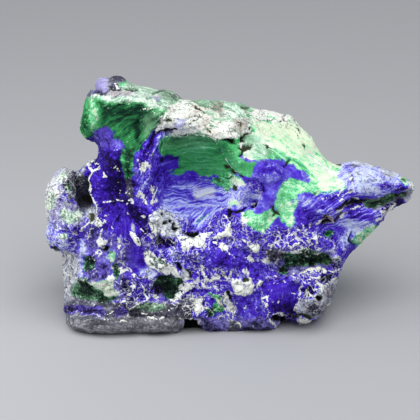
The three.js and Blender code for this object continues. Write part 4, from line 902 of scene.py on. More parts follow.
GROUND_BEHIND = (0.1, 0.1, 0.05, 0.3)
GROUND = [
    ((0.12, 0, 0.06, 0.3), 1, EVERYWHERE),
    ((0, 0, 0.03, 0.03), 5, area(98, 106, 160, 110, 154, 130, 136, 150, 110, 140, 98, 130)),
    ((0, 0.16, 0, 0.25), 3, area(80, 98, 98, 98, 98, 134, 82, 136)),
    ((0.04, 0.05, 0.12, 0.18), 4, area(92, 76, 160, 82, 186, 90, 184, 102, 164, 108, 140, 102, 104, 102)),
    ((0, 0, 0.08, 0.03), 4, area(162, 142, 200, 132, 216, 142, 232, 170, 200, 180, 164, 176)),
    ((0, 0, 0.14, 0.04), 4, area(160, 186, 200, 180, 230, 186, 226, 212, 196, 232, 162, 214)),
    ((0.05, 0.05, 0.26, 0.24), 4, area(156, 106, 200, 98, 262, 98, 300, 114, 300, 134, 246, 134, 212, 138,
        160, 134)),
    ((0, 0, 0.1, 0.12), 4, area(262, 132, 296, 128, 350, 172, 346, 190, 310, 190, 264, 158)),
    ((0.05, 0, 0.08, 0.12), 3, area(240, 180, 300, 176, 308, 190, 292, 226, 244, 230)),
    ((0.2, 0, 0.06, 0.16), 4, area(94, 150, 126, 150, 136, 190, 152, 210, 140, 236, 104, 228)),
    ((0.36, 0, 0, 0.2), 5, area(84, 240, 104, 226, 130, 240, 152, 208, 180, 214, 204, 232, 300, 230,
        344, 240, 340, 300, 300, 318, 180, 318, 110, 306, 84, 300)),
    ((0.6, 0, 0, 0.2), 3, area(150, 214, 162, 208, 180, 222, 184, 236, 154, 238)),
    ((0.12, 0, 0.05, 0.1), 3, area(264, 284, 298, 284, 294, 312, 268, 310)),
    ((0.2, 0.4, 0, 0.15), 3, area(44, 186, 74, 166, 84, 178, 80, 214, 88, 246, 60, 254, 44, 240)),
    ((0.1, 0.25, 0, 0.3), 3, area(52, 252, 82, 254, 80, 300, 54, 304)),
    ((0.12, 0.1, 0.2, 0.2), 3, area(342, 160, 400, 164, 416, 188, 360, 196)),
    ((0.1, 0, 0.24, 0.16), 3, area(296, 198, 362, 194, 404, 204, 372, 230, 316, 232)),
    ((0.1, 0.1, 0.16, 0.12), 3, area(50, 306, 184, 312, 186, 342, 50, 342)),
    ((0, 0.5, 0, 0.55), 2, area(266, 250, 330, 252, 334, 266, 288, 276, 268, 262)),
    ((0.25, 0.2, 0, 0.2), 3, area(300, 284, 338, 278, 338, 300, 318, 318, 298, 314)),
    ((0, 0, 0, 0.06), 1.5, area(92, 74, 128, 74, 127, 84, 110, 91, 94, 93)),
    ((0, 0, 0.06, 0.05), 3, area(218, 141, 240, 146, 262, 152, 262, 166, 250, 178, 236, 176, 226, 162)),
    ((0, 0, 0.1, 0.12), 3, area(240, 134, 262, 134, 278, 150, 264, 160, 244, 154)),
    ((0.05, 0, 0.08, 0.12), 3, area(228, 182, 262, 182, 262, 204, 244, 212, 226, 210)),
    ((0.14, 0, 0.05, 0.12), 3, area(110, 226, 142, 226, 148, 246, 146, 270, 136, 280, 124, 278,
        114, 256)),
]

# Pits and cracks: how deep, in mm, how softly the edge falls, in squares, and the shape. A
# negative depth stands out.

PITS = [
    (0.9, 3.5, area(76, 180, 84, 175, 90, 182, 90, 192, 93, 200, 90, 207, 82, 208, 77, 198)),
    (0.9, 1.5, area(51, 247, 56, 246, 62, 249, 67, 254, 60, 256)),
    (0.9, 1.2, area(221, 141, 228, 139, 233, 141, 235, 144, 229, 144)),
    (0.35, 1, stroke(2.2, 218, 146, 223, 158, 229, 166, 236, 173, 243, 177)),
    (0.8, 1.2, area(240.5, 141, 243, 136, 246, 134, 245, 141, 242, 146)),
    (0.7, 1.2, area(237, 147.6, 242, 146, 247, 144, 252.6, 145, 249, 149, 244, 150.4)),
    (0.5, 1, stroke(2.4, 238.6, 157, 242, 153, 245, 149)),
    (0.8, 1.2, stroke(3.6, 157, 134.4, 166, 132, 178.5, 129)),
    (0.6, 2, stroke(6, 163, 118, 158, 128, 153, 137, 150, 147)),
    (0.4, 1, stroke(2.2, 184, 119, 192, 117, 201, 115)),
    (0.35, 1.2, spot(169, 122, 4, 1.8)),
    (0.5, 1, area(240, 107, 244, 105, 250, 106, 248, 110, 243, 110)),
    (0.4, 1, stroke(2.4, 284, 115, 285, 121, 288, 122)),
    (0.35, 0.8, stroke(2, 206, 124, 208, 129, 210, 133)),
    (0.35, 0.8, stroke(2, 238, 121, 242, 124, 240, 129)),
    (0.35, 0.8, stroke(2, 244, 133.6, 250, 133.6, 254, 132)),
    (0.35, 0.8, stroke(2, 196, 108, 201, 110, 205, 113)),
    (0.3, 1, stroke(2, 266, 144, 268, 147, 267, 151)),
    (0.5, 1.2, stroke(2.4, 284, 168, 286, 165, 289.6, 159)),
    (0.4, 1.2, area(232, 184, 239, 187, 236, 190, 232, 191)),
    (0.3, 1.2, stroke(2, 262, 185, 263, 190, 260, 193)),
    (0.6, 1, spot(252.4, 204.4, 4, 2.6, -55)),
    (0.7, 1, stroke(3.6, 228.6, 208, 230, 212.4, 229, 217)),
    (0.5, 1, stroke(2.6, 231, 212, 237, 212.6, 243, 210, 246.6, 206)),
    (0.5, 1, stroke(2.6, 273, 206, 275, 211, 280, 215)),
    (0.5, 1, stroke(2.4, 126, 90, 132, 90, 138.5, 88)),
    (0.5, 1.2, stroke(5, 138, 120, 136, 128, 136, 138)),
    (0.4, 1.2, area(107, 87, 113, 85, 121, 87, 121, 91, 112, 90)),
    (0.5, 1.2, stroke(4, 95, 90, 101, 93.6, 109, 90)),
    (0.9, 1.6, area(362, 201, 370, 198, 384, 197, 396, 193, 410, 190, 416, 192, 404, 201, 388, 205,
        376, 209, 366, 207)),
    (0.7, 1.6, stroke(5, 338, 210, 347, 204, 355, 202, 364, 202)),
    (0.7, 1.2, area(321, 218, 325, 213, 329, 215, 329, 222, 324, 226, 320, 224)),
    (0.6, 1, spot(328.6, 233.6, 3.6, 2.6)),
    (0.6, 1, stroke(2.6, 351.6, 231, 349, 237, 348.6, 241, 354, 245)),
    (1, 1.2, area(155, 239, 159, 236.6, 163, 238, 165, 243, 161, 246, 156, 244)),
    (0.5, 1.2, area(165, 240, 172, 239, 176, 244, 172, 248, 166, 246)),
    (0.8, 1, area(182, 233.6, 190, 232.6, 197, 233.6, 199, 235.4, 195, 238.4, 188, 236)),
    (0.7, 1, area(173, 262, 179, 264, 183, 270, 178.6, 269)),
    (0.5, 1, stroke(2.6, 186, 269.6, 191, 274, 191, 281)),
    (0.4, 0.8, area(242, 280, 244, 278, 248, 279, 246.6, 282, 243, 282)),
    (0.6, 0.9, stroke(3, 227.4, 291, 229, 296, 231.4, 300)),
    (0.7, 0.9, spot(105.4, 248.6, 3.4, 3.2)),
    (0.5, 0.8, spot(169, 220.4, 2.6, 2.8)),
    (0.5, 0.8, spot(174, 227.4, 2.4, 4.4, -20)),
    (0.4, 0.8, spot(161, 216, 1.8, 2)),
    (0.4, 0.8, spot(163.6, 222, 2, 1.8)),
    (0.7, 1.6, area(284, 254, 300, 253, 328, 255, 332, 260, 300, 265, 286, 272)),
    (0.6, 0.9, area(315.6, 297, 318, 295.6, 322, 298, 321, 301, 317.6, 300)),
    (0.5, 1.2, area(302, 290, 307, 286, 313, 287, 316, 292, 312, 297, 303, 299)),
    (0.5, 1.2, area(318, 280, 322, 276, 330, 274, 336, 275, 330, 281, 323, 284)),
    (0.9, 1.2, area(271, 317, 276, 314.6, 284, 317, 286, 320, 278, 322, 272, 320)),
    (1.1, 1.5, area(184, 321, 193, 320, 199, 325, 204, 331, 204, 336, 186, 334)),
    (0.5, 2, area(152, 284, 158, 276, 170, 275, 183, 279, 182, 286, 176, 291, 174, 299, 163, 297)),
    (0.4, 1.6, area(78, 282, 90, 284, 104, 292, 104, 299, 86, 297)),
    (0.4, 1.2, area(113, 264, 119, 265, 120, 272, 116, 278)),
    (0.3, 1.4, area(121, 278, 129, 278, 129, 292, 122, 294)),
    (0.3, 1.4, area(137, 286, 142, 285, 146, 295, 136, 300)),
    (0.3, 1.2, area(90, 232, 97, 230, 98, 249, 90, 250)),
    (0.4, 1.4, area(83, 258, 92, 256, 95, 264, 85, 271)),
    (0.4, 1.2, stroke(3, 154, 257, 161, 262, 167, 266)),
    (0.3, 1.2, stroke(2, 92, 228, 95, 238)),
    (0.5, 1.4, area(129, 310, 140, 310, 141, 316, 132, 318)),
    (-0.45, 2, spot(104, 86, 7.4, 7.6)),
    (-0.35, 1.6, spot(117, 81, 7.4, 4)),
    (-0.4, 1.2, spot(90.5, 94, 4, 4)),
    (-0.4, 1.4, stroke(5, 84, 176, 85, 170, 91, 165)),
    (-0.4, 0.8, ring(3, 95.4, 167.6, 4.8, 4.4)),
    (-0.35, 1, stroke(2.6, 94, 173, 91, 178, 89, 183, 89.4, 190, 94.4, 196, 98, 203, 99.6, 211, 99, 219)),
    (-0.3, 1, stroke(2.4, 102, 203.4, 110, 202, 117, 199.6, 122, 201.4, 131, 200)),
    (-0.35, 1.2, area(95, 224, 97, 218.6, 103, 218, 106.4, 222, 103, 227, 97, 228.6)),
    (-0.4, 1.2, area(98, 240, 103, 236.6, 108.6, 241, 106, 246, 100, 245.6)),
    (-0.35, 1.2, area(128, 233, 131, 231, 134.6, 232, 139, 239, 142.4, 245, 138, 246.4, 132, 240)),
    (-0.45, 1.6, area(180, 238, 190, 239, 200, 236, 206, 248, 192, 248, 182, 249)),
    (-0.45, 1.2, area(214, 238, 220, 232, 227, 227, 231, 222, 231.6, 235, 223, 236)),
    (-0.4, 1.2, area(211, 241.6, 220, 242, 226, 246, 230, 251, 226, 253.6, 219, 247)),
    (-0.4, 1.2, area(241, 240, 250, 238.6, 258, 243, 260.6, 247.6, 254, 251)),
    (-0.5, 1.5, area(231, 284, 236, 278, 242, 282, 248, 278, 253, 284, 246, 295, 236, 293)),
    (-0.3, 1.2, stroke(3, 201, 262, 203, 270, 207, 277, 210, 282)),
    (-0.35, 1, stroke(3.6, 135, 275, 134, 284, 131, 293, 127, 299, 121, 304)),
    (-0.35, 1, stroke(3, 148, 297, 143, 301, 137, 304, 131, 308)),
    (-0.3, 1, stroke(2.6, 263.6, 297, 265, 303, 268, 309, 268, 316, 272, 322)),
    (-0.4, 1.2, stroke(4, 290, 277, 302, 273.4, 312, 270.4, 322, 269.4, 332, 271, 340, 268)),
    (-0.35, 1, stroke(2.6, 299.6, 291, 303, 284, 309, 280.6, 316, 282, 321, 287)),
    (-0.35, 1.2, stroke(3, 289, 248, 298, 243, 308, 240, 316, 238)),
    (-0.45, 2, area(350, 240, 353, 234, 360, 230, 372, 225, 370, 234, 360, 242, 352, 243)),
    (-0.3, 1.5, area(192, 195, 204, 192, 215, 190, 213, 195, 203, 198, 196, 198)),
    (-0.4, 1.5, spot(304, 319, 7.6, 3.4)),
    (-0.3, 1.4, stroke(4, 334, 199, 340, 192, 346, 186, 352, 178)),
    (-0.4, 1, spot(335, 258, 4.6, 4.2)),
    (-0.3, 1.6, area(252, 176, 258, 166, 269, 160, 280, 166, 286, 176, 276, 182, 262, 182)),
]

# The way the fibres run: rings round a middle, or rays out of it, its place, how far out the
# fibres lie, how far they bend off true, in squares, and the shape where this holds.

RINGS, RAYS = range(2)
FIBRES = [
    (RINGS, 200, 900, 640, 6, EVERYWHERE),
    (RINGS, 162, 206, 100, 3, area(70, 90, 100, 74, 190, 88, 190, 98, 164, 112, 158, 134, 136, 154,
        84, 150)),
    (RINGS, 200, 245, 85, 2, area(150, 130, 200, 128, 218, 140, 234, 172, 226, 182, 200, 182, 150, 190)),
    (RINGS, 260, 230, 70, 2, area(218, 141, 242, 134, 268, 140, 262, 160, 250, 180, 234, 172)),
    (RINGS, 186, 60, 140, 7, area(156, 184, 200, 180, 232, 184, 230, 206, 196, 214, 158, 214)),
    (RINGS, 232, 240, 34, 3, area(190, 214, 214, 206, 226, 206, 208, 234, 190, 234)),
    (RINGS, 150, 330, 215, 4, area(156, 92, 200, 90, 260, 90, 262, 136, 212, 140, 156, 136)),
    (RINGS, 180, 330, 220, 4, area(262, 90, 300, 110, 356, 176, 346, 194, 304, 190, 262, 160)),
    (RINGS, 420, 400, 210, 5, area(292, 196, 338, 164, 420, 160, 420, 192, 400, 206, 376, 226, 314, 232)),
    (RINGS, 120, 1500, 1180, 2, area(50, 296, 186, 306, 186, 342, 50, 342)),
    (RAYS, 124, 203, 30, 3, area(92, 152, 126, 152, 134, 190, 152, 206, 156, 240, 140, 260, 104, 240,
        96, 200)),
    (RAYS, 280, 272, 30, 3, area(262, 280, 302, 280, 298, 316, 264, 316)),
    (RAYS, 243, 281, 20, 1, area(228, 270, 258, 270, 258, 298, 228, 298)),
    (RINGS, -140, 620, 460, 3, area(141, 249, 162, 251, 186, 274, 180, 281, 148, 270)),
    (RINGS, 286, 260, 60, 3, area(238, 206, 268, 180, 276, 178, 300, 176, 300, 226, 262, 234, 240, 224)),
    (RINGS, 714, 358, 600, 5, area(134, 150, 148, 132, 160, 110, 172, 118, 170, 136, 163, 150, 162, 200,
        150, 210, 136, 204)),
    (RINGS, 215, 195, 100, 2, area(138, 118, 146, 111, 163, 109, 163, 118, 152, 131, 143, 143, 137, 146,
        136, 134)),
]


class Surface:
    """The stone's fine surface as arrays."""

    def __init__(self, mesh):
        self.mesh = mesh
        count = len(mesh.vertices)
        self.points = self.read("co", mesh.vertices, count * 3).reshape(-1, 3)
        ends = np.empty(len(mesh.edges) * 2, dtype=np.int32)
        mesh.edges.foreach_get("vertices", ends)
        self.first, self.second = ends.reshape(-1, 2).T
        near = np.bincount(self.first, minlength=count) + np.bincount(self.second, minlength=count)
        self.near = np.maximum(near, 1)

    @staticmethod
    def read(name, items, length):
        """One property of all the mesh's items."""
        found = np.empty(length, dtype=np.float32)
        items.foreach_get(name, found)
        return found.astype(float)

    def write(self):
        """Puts the points back in the mesh."""
        self.mesh.vertices.foreach_set("co", self.points.astype(np.float32).ravel())
        self.mesh.update()

    def normals(self):
        """The normal at each point."""
        return self.read("normal", self.mesh.vertices, len(self.points) * 3).reshape(-1, 3)

    def even(self, values, rounds, share=0.5):
        """Values drawn towards the mean of their neighbours, some rounds over."""
        count = len(self.points)
        columns = values.reshape(count, -1).astype(float)
        for _ in range(rounds):
            for column in columns.T:
                total = np.bincount(self.first, column[self.second], count)
                total += np.bincount(self.second, column[self.first], count)
                column += share * (total / self.near - column)
        return columns.reshape(values.shape)


def painted(layers, x, y):
    """Values painted over each other at places on the board."""
    result = np.zeros((len(x), np.size(layers[0][0])))
    for value, soft, shape in layers:
        weight = blend(-soft, soft, shape(x, y))[:, None]
        result += weight * (np.array(value) - result)
    return result if result.shape[1] > 1 else result[:, 0]


def painted_minerals(x, y):
    """The share of each mineral, and how pale the stone and its matrix are."""
    shares = np.zeros((5, len(x)))
    shares[AZURITE] = 1
    pale = np.full(len(x), 0.45)
    milk = np.full(len(x), 0.9)
    for mineral, tone, soft, shape in PATCHES:
        soft = soft + (FADE_MORE if soft >= 1 else CRISP_MORE)
        weight = blend(-soft, soft, shape(x, y))
        if mineral in (CREAM, DARK_AND_SHADE):
            weight *= THIN_COVER
        shares *= 1 - weight
        shares[mineral] += weight
        if mineral == CREAM:
            milk += weight * (tone - milk)
        else:
            pale += weight * (tone - pale)
    return shares, pale, milk


def fibre_places(points, x, y):
    """Places for the fibres' noise: across the fibres, along them, and into the stone, in mm."""
    across = np.zeros(len(x))
    along = np.zeros(len(x))
    flat = np.stack([x, y, x * 0], axis=1)
    wobble = waves(flat, 24, 3) + 0.3 * waves(flat, 9, 4)
    for kind, x0, y0, reach, bend, shape in FIBRES:
        out = np.hypot(x - x0, y - y0) + wobble * bend
        turn = np.arctan2(x - x0, y0 - y) * reach + wobble * bend
        here = shape(x, y) > 0
        across = np.where(here, out if kind == RINGS else turn, across)
        along = np.where(here, turn if kind == RINGS else out, along)
    scale = SQUARE / MM
    return np.stack([across * scale, along * scale, points[:, 1] / MM], axis=1)


def share_of(part, whole):
    """A share of a whole that may be nothing."""
    return part / np.maximum(whole, 1e-6)


class StoneSettings(bpy.types.PropertyGroup):
    """Sizes and colours of the stone."""

    voxel: FloatProperty(
        name="Fine mesh", description="Side of a face of the fine mesh",
        default=0.25 * MM, unit="LENGTH", precision=5
    )
    most_faces: IntProperty(
        name="Most faces", description="Triangles of the fine mesh", default=194000, min=1000
    )
    smoothing: IntProperty(name="Smoothing", description="Rounds that take the facets off", default=16, min=0)
    azurite_deep: FloatVectorProperty(
        name="Deep azurite", description="Azurite in thick crystals",
        subtype="COLOR", default=(0.006, 0.002, 0.03)
    )
    azurite_dark: FloatVectorProperty(
        name="Dark azurite", description="Azurite in the shade", subtype="COLOR", default=(0.012, 0.004, 0.1)
    )
    azurite: FloatVectorProperty(
        name="Azurite", description="The main blue", subtype="COLOR", default=(0.062, 0.016, 0.53)
    )
    azurite_sky: FloatVectorProperty(
        name="Light azurite", description="Powdery azurite", subtype="COLOR", default=(0.24, 0.225, 0.87)
    )
    azurite_pale: FloatVectorProperty(
        name="Pale azurite", description="Azurite bloom", subtype="COLOR", default=(0.6, 0.67, 0.97)
    )
    malachite_deep: FloatVectorProperty(
        name="Deep malachite", description="Malachite in thick crystals",
        subtype="COLOR", default=(0.003, 0.011, 0.009)
    )
    malachite_dark: FloatVectorProperty(
        name="Dark malachite", description="Malachite in the shade",
        subtype="COLOR", default=(0.011, 0.06, 0.032)
    )
    malachite: FloatVectorProperty(
        name="Malachite", description="The main green", subtype="COLOR", default=(0.045, 0.35, 0.1)
    )
    malachite_mint: FloatVectorProperty(
        name="Light malachite", description="Powdery malachite", subtype="COLOR", default=(0.25, 0.78, 0.41)
    )
    malachite_pale: FloatVectorProperty(
        name="Pale malachite", description="Malachite bloom", subtype="COLOR", default=(0.78, 0.92, 0.68)
    )
    cream_deep: FloatVectorProperty(
        name="Dull matrix", description="Weathered matrix", subtype="COLOR", default=(0.1, 0.1, 0.09)
    )
    cream: FloatVectorProperty(
        name="Cream matrix", description="Clean matrix and veins", subtype="COLOR", default=(0.86, 0.89, 0.82)
    )
    slate_deep: FloatVectorProperty(
        name="Dark crust", description="Weathered crust in the shade",
        subtype="COLOR", default=(0.01, 0.009, 0.025)
    )
    slate_mid: FloatVectorProperty(
        name="Plain crust", description="Weathered slate-blue crust",
        subtype="COLOR", default=(0.095, 0.095, 0.155)
    )
    slate: FloatVectorProperty(
        name="Crust", description="Weathered grey-lavender crust", subtype="COLOR", default=(0.62, 0.66, 0.78)
    )
    # The olive-black of the hollows; with the near-black under it, it also paints shade in the pits and
    # cracks.
    hollow_shade: FloatVectorProperty(
        name="Hollows", description="Olive-black lining of the hollows",
        subtype="COLOR", default=(0.05, 0.055, 0.025)
    )
    stain: FloatVectorProperty(
        name="Stain", description="Rust-brown stain of the matrix",
        subtype="COLOR", default=(0.42, 0.24, 0.17)
    )


class StageSettings(bpy.types.PropertyGroup):
    """The floor, the lights and the camera."""

    floor_size: FloatProperty(name="Floor", description="Side of the floor", default=3, unit="LENGTH")
    floor_color: FloatVectorProperty(
        name="Floor colour", description="Colour of the floor", subtype="COLOR", default=(0.42, 0.425, 0.44)
    )
    key_power: FloatProperty(
        name="Key light", description="Power from the upper right", default=3.3, unit="POWER"
    )
    fill_power: FloatProperty(name="Fill light", description="Power from the left", default=0.9, unit="POWER")
    glow_power: FloatProperty(
        name="Floor light", description="Power low on the left", default=0.1, unit="POWER"
    )


# Shader parts


class Shader:
    """Adds nodes to a material."""

    def __init__(self, name):
        self.material = bpy.data.materials.new(name)
        self.material.use_nodes = True
        self.nodes = self.material.node_tree.nodes
        self.links = self.material.node_tree.links
        self.surface = self.nodes["Principled BSDF"]

    def put(self, socket, value):
        """Links a socket or sets its value."""
        if isinstance(value, bpy.types.NodeSocket):
            self.links.new(value, socket)
        elif socket.type == "RGBA" and len(value) == 3:
            socket.default_value = (*value, 1)
        else:
            socket.default_value = value

    def math(self, operation, *values, clamp=False):
        """One sum on two or three numbers."""
        node = self.nodes.new("ShaderNodeMath")
        node.operation = operation
        node.use_clamp = clamp
        for socket, value in zip(node.inputs, values):
            self.put(socket, value)
        return node.outputs[0]

    def span(self, x, low, high, start=0.0, end=1.0, smooth=True):
        """From start below low to end above high."""
        node = self.nodes.new("ShaderNodeMapRange")
        node.interpolation_type = "SMOOTHSTEP" if smooth else "LINEAR"
        self.put(node.inputs["Value"], x)
        for name, value in (("From Min", low), ("From Max", high), ("To Min", start), ("To Max", end)):
            node.inputs[name].default_value = value
        return node.outputs["Result"]

    def mix(self, share, a, b, blending="MIX"):
        """Colour a, or b where share is 1."""
        node = self.nodes.new("ShaderNodeMix")
        node.data_type = "RGBA"
        node.blend_type = blending
        self.put(node.inputs["Factor"], share)
        self.put(node.inputs["A"], a)
        self.put(node.inputs["B"], b)
        return node.outputs["Result"]

    def ramp(self, x, stops):
        """A colour from a list of places and colours."""
        node = self.nodes.new("ShaderNodeValToRGB")
        self.put(node.inputs["Fac"], x)
        elements = node.color_ramp.elements
        while len(elements) < len(stops):
            elements.new(0.5)
        for element, (place, color) in zip(elements, stops):
            element.position = place
            element.color = (*color, 1)
        return node.outputs["Color"]

    def attribute(self, name):
        """A vector stored on the mesh, and its three numbers."""
        node = self.nodes.new("ShaderNodeAttribute")
        node.attribute_name = name
        split = self.nodes.new("ShaderNodeSeparateXYZ")
        self.links.new(node.outputs["Vector"], split.inputs[0])
        return node.outputs["Vector"], split.outputs

    def noise(self, vector, scale, detail=4.0, roughness=0.6, distortion=0.0):
        """Noise from about -0.5 to 0.5."""
        node = self.nodes.new("ShaderNodeTexNoise")
        self.links.new(vector, node.inputs["Vector"])
        node.inputs["Scale"].default_value = scale
        node.inputs["Detail"].default_value = detail
        node.inputs["Roughness"].default_value = roughness
        node.inputs["Distortion"].default_value = distortion
        return self.math("SUBTRACT", node.outputs["Fac"], 0.5)

    def stretch(self, vector, factors):
        """A vector multiplied by three numbers."""
        node = self.nodes.new("ShaderNodeVectorMath")
        node.operation = "MULTIPLY"
        self.links.new(vector, node.inputs[0])
        node.inputs[1].default_value = factors
        return node.outputs[0]


def between(low, high, share):
    """A colour part of the way from one to another."""
    return tuple(a + (b - a) * share for a, b in zip(low, high))


def blues(look):
    """Azurite from deep to pale."""
    return [(0.0, look.azurite_deep), (0.16, look.azurite_dark), (0.42, look.azurite),
            (0.62, between(look.azurite, look.azurite_sky, 0.22)), (0.83, look.azurite_sky),
            (1.0, look.azurite_pale)]


def greens(look):
    """Malachite from deep to pale."""
    return [(0.0, look.malachite_deep), (0.24, look.malachite_dark), (0.54, look.malachite),
            (0.72, between(look.malachite, look.malachite_mint, 0.3)), (0.87, look.malachite_mint),
            (1.0, look.malachite_pale)]


def sawn_color(shader, look, place, broad, medium):
    """The cut face: blue ground, banded green eyes, a pale seam between them, and fine veins."""
    bent = shader.nodes.new("ShaderNodeVectorMath")
    bent.operation = "MULTIPLY_ADD"
    drift = shader.nodes.new("ShaderNodeTexNoise")
    shader.put(drift.inputs["Vector"], place)
    drift.inputs["Scale"].default_value = 110
    drift.inputs["Detail"].default_value = 3
    shader.put(bent.inputs[0], drift.outputs["Color"])
    bent.inputs[1].default_value = (7 * MM,) * 3
    shader.put(bent.inputs[2], place)
    eyes = shader.nodes.new("ShaderNodeTexVoronoi")
    eyes.feature = "SMOOTH_F1"
    eyes.inputs["Scale"].default_value = 105
    shader.put(eyes.inputs["Vector"], bent.outputs[0])
    out = shader.math("MULTIPLY_ADD", broad, 0.12, eyes.outputs["Distance"])
    band = shader.math("FRACT", shader.math("MULTIPLY", out, 9.0))
    band = shader.math("MULTIPLY_ADD", medium, 0.35, band)
    deep, main, mint = look.malachite_dark, look.malachite, look.malachite_mint
    green = shader.ramp(band, [(0.0, deep), (0.35, main), (0.6, between(main, mint, 0.4)), (0.8, main),
                               (1.0, deep)])
    ground = shader.math("MULTIPLY_ADD", broad, 1.2, 0.3)
    ground = shader.math("MULTIPLY_ADD", medium, 1.3, ground, clamp=True)
    blue = shader.ramp(ground, [(0.0, look.azurite_deep), (0.3, look.azurite_dark), (0.7, look.azurite),
                                (1.0, look.azurite_sky)])
    lie = shader.math("MULTIPLY_ADD", broad, 0.25, shader.noise(bent.outputs[0], 62, 1, 0.5))
    color = shader.mix(shader.span(lie, 0.0, 0.012), blue, green)
    seam = shader.span(shader.math("ABSOLUTE", lie), 0.006, 0.02, 0.9, 0)
    color = shader.mix(seam, color, between(look.malachite_mint, look.cream, 0.6))
    vein = shader.math("ABSOLUTE", shader.noise(bent.outputs[0], 75, 2, 0.5))
    vein = shader.math("MULTIPLY_ADD", medium, 0.02, vein)
    vein = shader.span(vein, 0.002, 0.009, 0.7, 0)
    return shader.mix(vein, color, between(look.cream_deep, look.cream, 0.6))


def stone_material(look):
    """Azurite, malachite, matrix, crust and hollows in painted shade, from what is painted on the mesh."""
    shader = Shader("azurite_malachite")
    place = shader.nodes.new("ShaderNodeTexCoord").outputs["Object"]
    _, (green, white, dark) = shader.attribute("minerals")
    _, (slate, pale, milk) = shader.attribute("looks")
    _, (streak, stain, dull) = shader.attribute("marks")
    _, (lace, grit, sawn) = shader.attribute("cover")
    fibre, _ = shader.attribute("fibre")

    fine = shader.noise(place, 2600, 2, 0.6)
    medium = shader.noise(place, 900, 4, 0.62, 0.5)
    broad = shader.noise(place, 300, 3, 0.6, 0.5)
    thread = shader.noise(shader.stretch(fibre, (2.8, 0.15, 0.3)), 1.0, 4, 0.62, 0.2)
    ragged = shader.math("MULTIPLY_ADD", broad, 0.5, medium)
    feathered = shader.math("MULTIPLY", thread, streak)
    wander = shader.math("MULTIPLY_ADD", feathered, 1.2, shader.math("MULTIPLY_ADD", fine, 0.85, ragged))

    def edge(share, reach, soft=0.08):
        """A mineral's share with a ragged edge."""
        return shader.span(shader.math("MULTIPLY_ADD", wander, reach, share), 0.5 - soft, 0.5 + soft)

    def curls(scale, width, breaks):
        """Thin, curly, broken lines."""
        level = shader.noise(place, scale, 1, 0.5, 0.6)
        away = shader.math("ABSOLUTE", level)
        reach = shader.math("MULTIPLY", width, shader.math("MULTIPLY_ADD", breaks, 4.0, 0.9))
        lines = shader.span(shader.math("SUBTRACT", reach, away), -0.012, 0.02)
        return shader.math("MULTIPLY", lines, shader.span(width, 0.0, 0.02))

    speckle = shader.noise(place, 1500, 2, 0.5)
    cracks = curls(480, shader.math("MULTIPLY", grit, 0.035), medium)
    holes = shader.math("MULTIPLY", shader.span(speckle, -0.17, -0.09, 1, 0), grit)
    cracks = shader.math("MAXIMUM", cracks, holes)
    tone = shader.math("MULTIPLY_ADD", feathered, 1.9, pale)
    busy = shader.math("MULTIPLY_ADD", lace, 1.3, shader.math("MULTIPLY_ADD", grit, 0.75, 0.25))
    tone = shader.math("MULTIPLY_ADD", fine, busy, tone)
    tone = shader.math("MULTIPLY_ADD", ragged, shader.math("MULTIPLY_ADD", grit, 1.2, 0.3), tone)
    glint = shader.math("MULTIPLY", shader.span(speckle, 0.1, 0.2, 0, 0.45), grit)
    bright = shader.math("ADD", tone, glint, clamp=True)

    blue = shader.ramp(bright, blues(look))
    leaf = shader.ramp(bright, greens(look))
    crust = shader.ramp(bright, [(0.0, look.slate_deep), (0.4, look.slate_mid), (1.0, look.slate)])
    chalk = shader.math("MULTIPLY_ADD", feathered, 1.2, milk)
    chalk = shader.math("MULTIPLY_ADD", ragged, 1.3, chalk)
    chalk = shader.math("MULTIPLY_ADD", fine, 2.2, chalk)
    chalk = shader.math("MULTIPLY_ADD", lace, 0.5, chalk, clamp=True)
    dusty = between(look.cream_deep, look.cream, 0.36)
    matrix = shader.ramp(chalk, [(0.0, look.cream_deep), (0.4, dusty), (0.68, look.cream)])
    # Olive-black lining of the pits and cracks, near-black where their tone is low: painted shade in them.
    shaded_lining = shader.ramp(bright, [(0.2, (0.002, 0.002, 0.003)), (1.0, look.hollow_shade)])

    color = shader.mix(edge(slate, 0.9), blue, crust)
    color = shader.mix(edge(green, 1.1, 0.16), color, leaf)
    grey = shader.nodes.new("ShaderNodeHueSaturation")
    shader.put(grey.inputs["Color"], color)
    shader.put(grey.inputs["Saturation"], shader.math("SUBTRACT", 1.0, dull))
    color = grey.outputs["Color"]
    open_net = curls(330, shader.math("MULTIPLY", lace, 0.05), medium)
    close_net = curls(700, shader.math("MULTIPLY", lace, 0.055), medium)
    net = shader.math("MAXIMUM", open_net, close_net)
    net = shader.math("MULTIPLY", net, shader.span(fine, -0.2, 0.1, 0.5, 1))
    patches = edge(shader.math("SUBTRACT", white, 0.05), 1.8, 0.08)
    bloom = shader.ramp(chalk, [(0.2, look.azurite_sky), (0.5, look.azurite_pale), (0.8, look.cream)])
    color = shader.mix(net, color, bloom)
    color = shader.mix(patches, color, matrix)
    veined = shader.math("MAXIMUM", patches, net)
    color = shader.mix(shader.math("MULTIPLY", cracks, 0.75), color, (0.06, 0.055, 0.1), "MULTIPLY")
    rust = shader.math("MULTIPLY", stain, shader.span(wander, -0.1, 0.2))
    color = shader.mix(rust, color, look.stain, "MULTIPLY")
    # Dark patches: their lining and the painted shade in pits and cracks.
    hollow_shade = edge(dark, 1.2, 0.25)
    color = shader.mix(hollow_shade, color, shaded_lining)
    cut_color = sawn_color(shader, look, place, broad, medium)
    shader.put(shader.surface.inputs["Base Color"], shader.mix(sawn, color, cut_color))

    broken = shader.span(medium, -0.3, 0.3, 0.45, 0.8, smooth=False)
    honed = shader.span(medium, -0.3, 0.3, 0.24, 0.4, smooth=False)
    natural = shader.math("SUBTRACT", 1.0, sawn)
    rough = shader.math("MULTIPLY_ADD", natural, shader.math("SUBTRACT", broken, honed), honed)
    shader.put(shader.surface.inputs["Roughness"], rough)
    shader.surface.inputs["Specular IOR Level"].default_value = 0.06

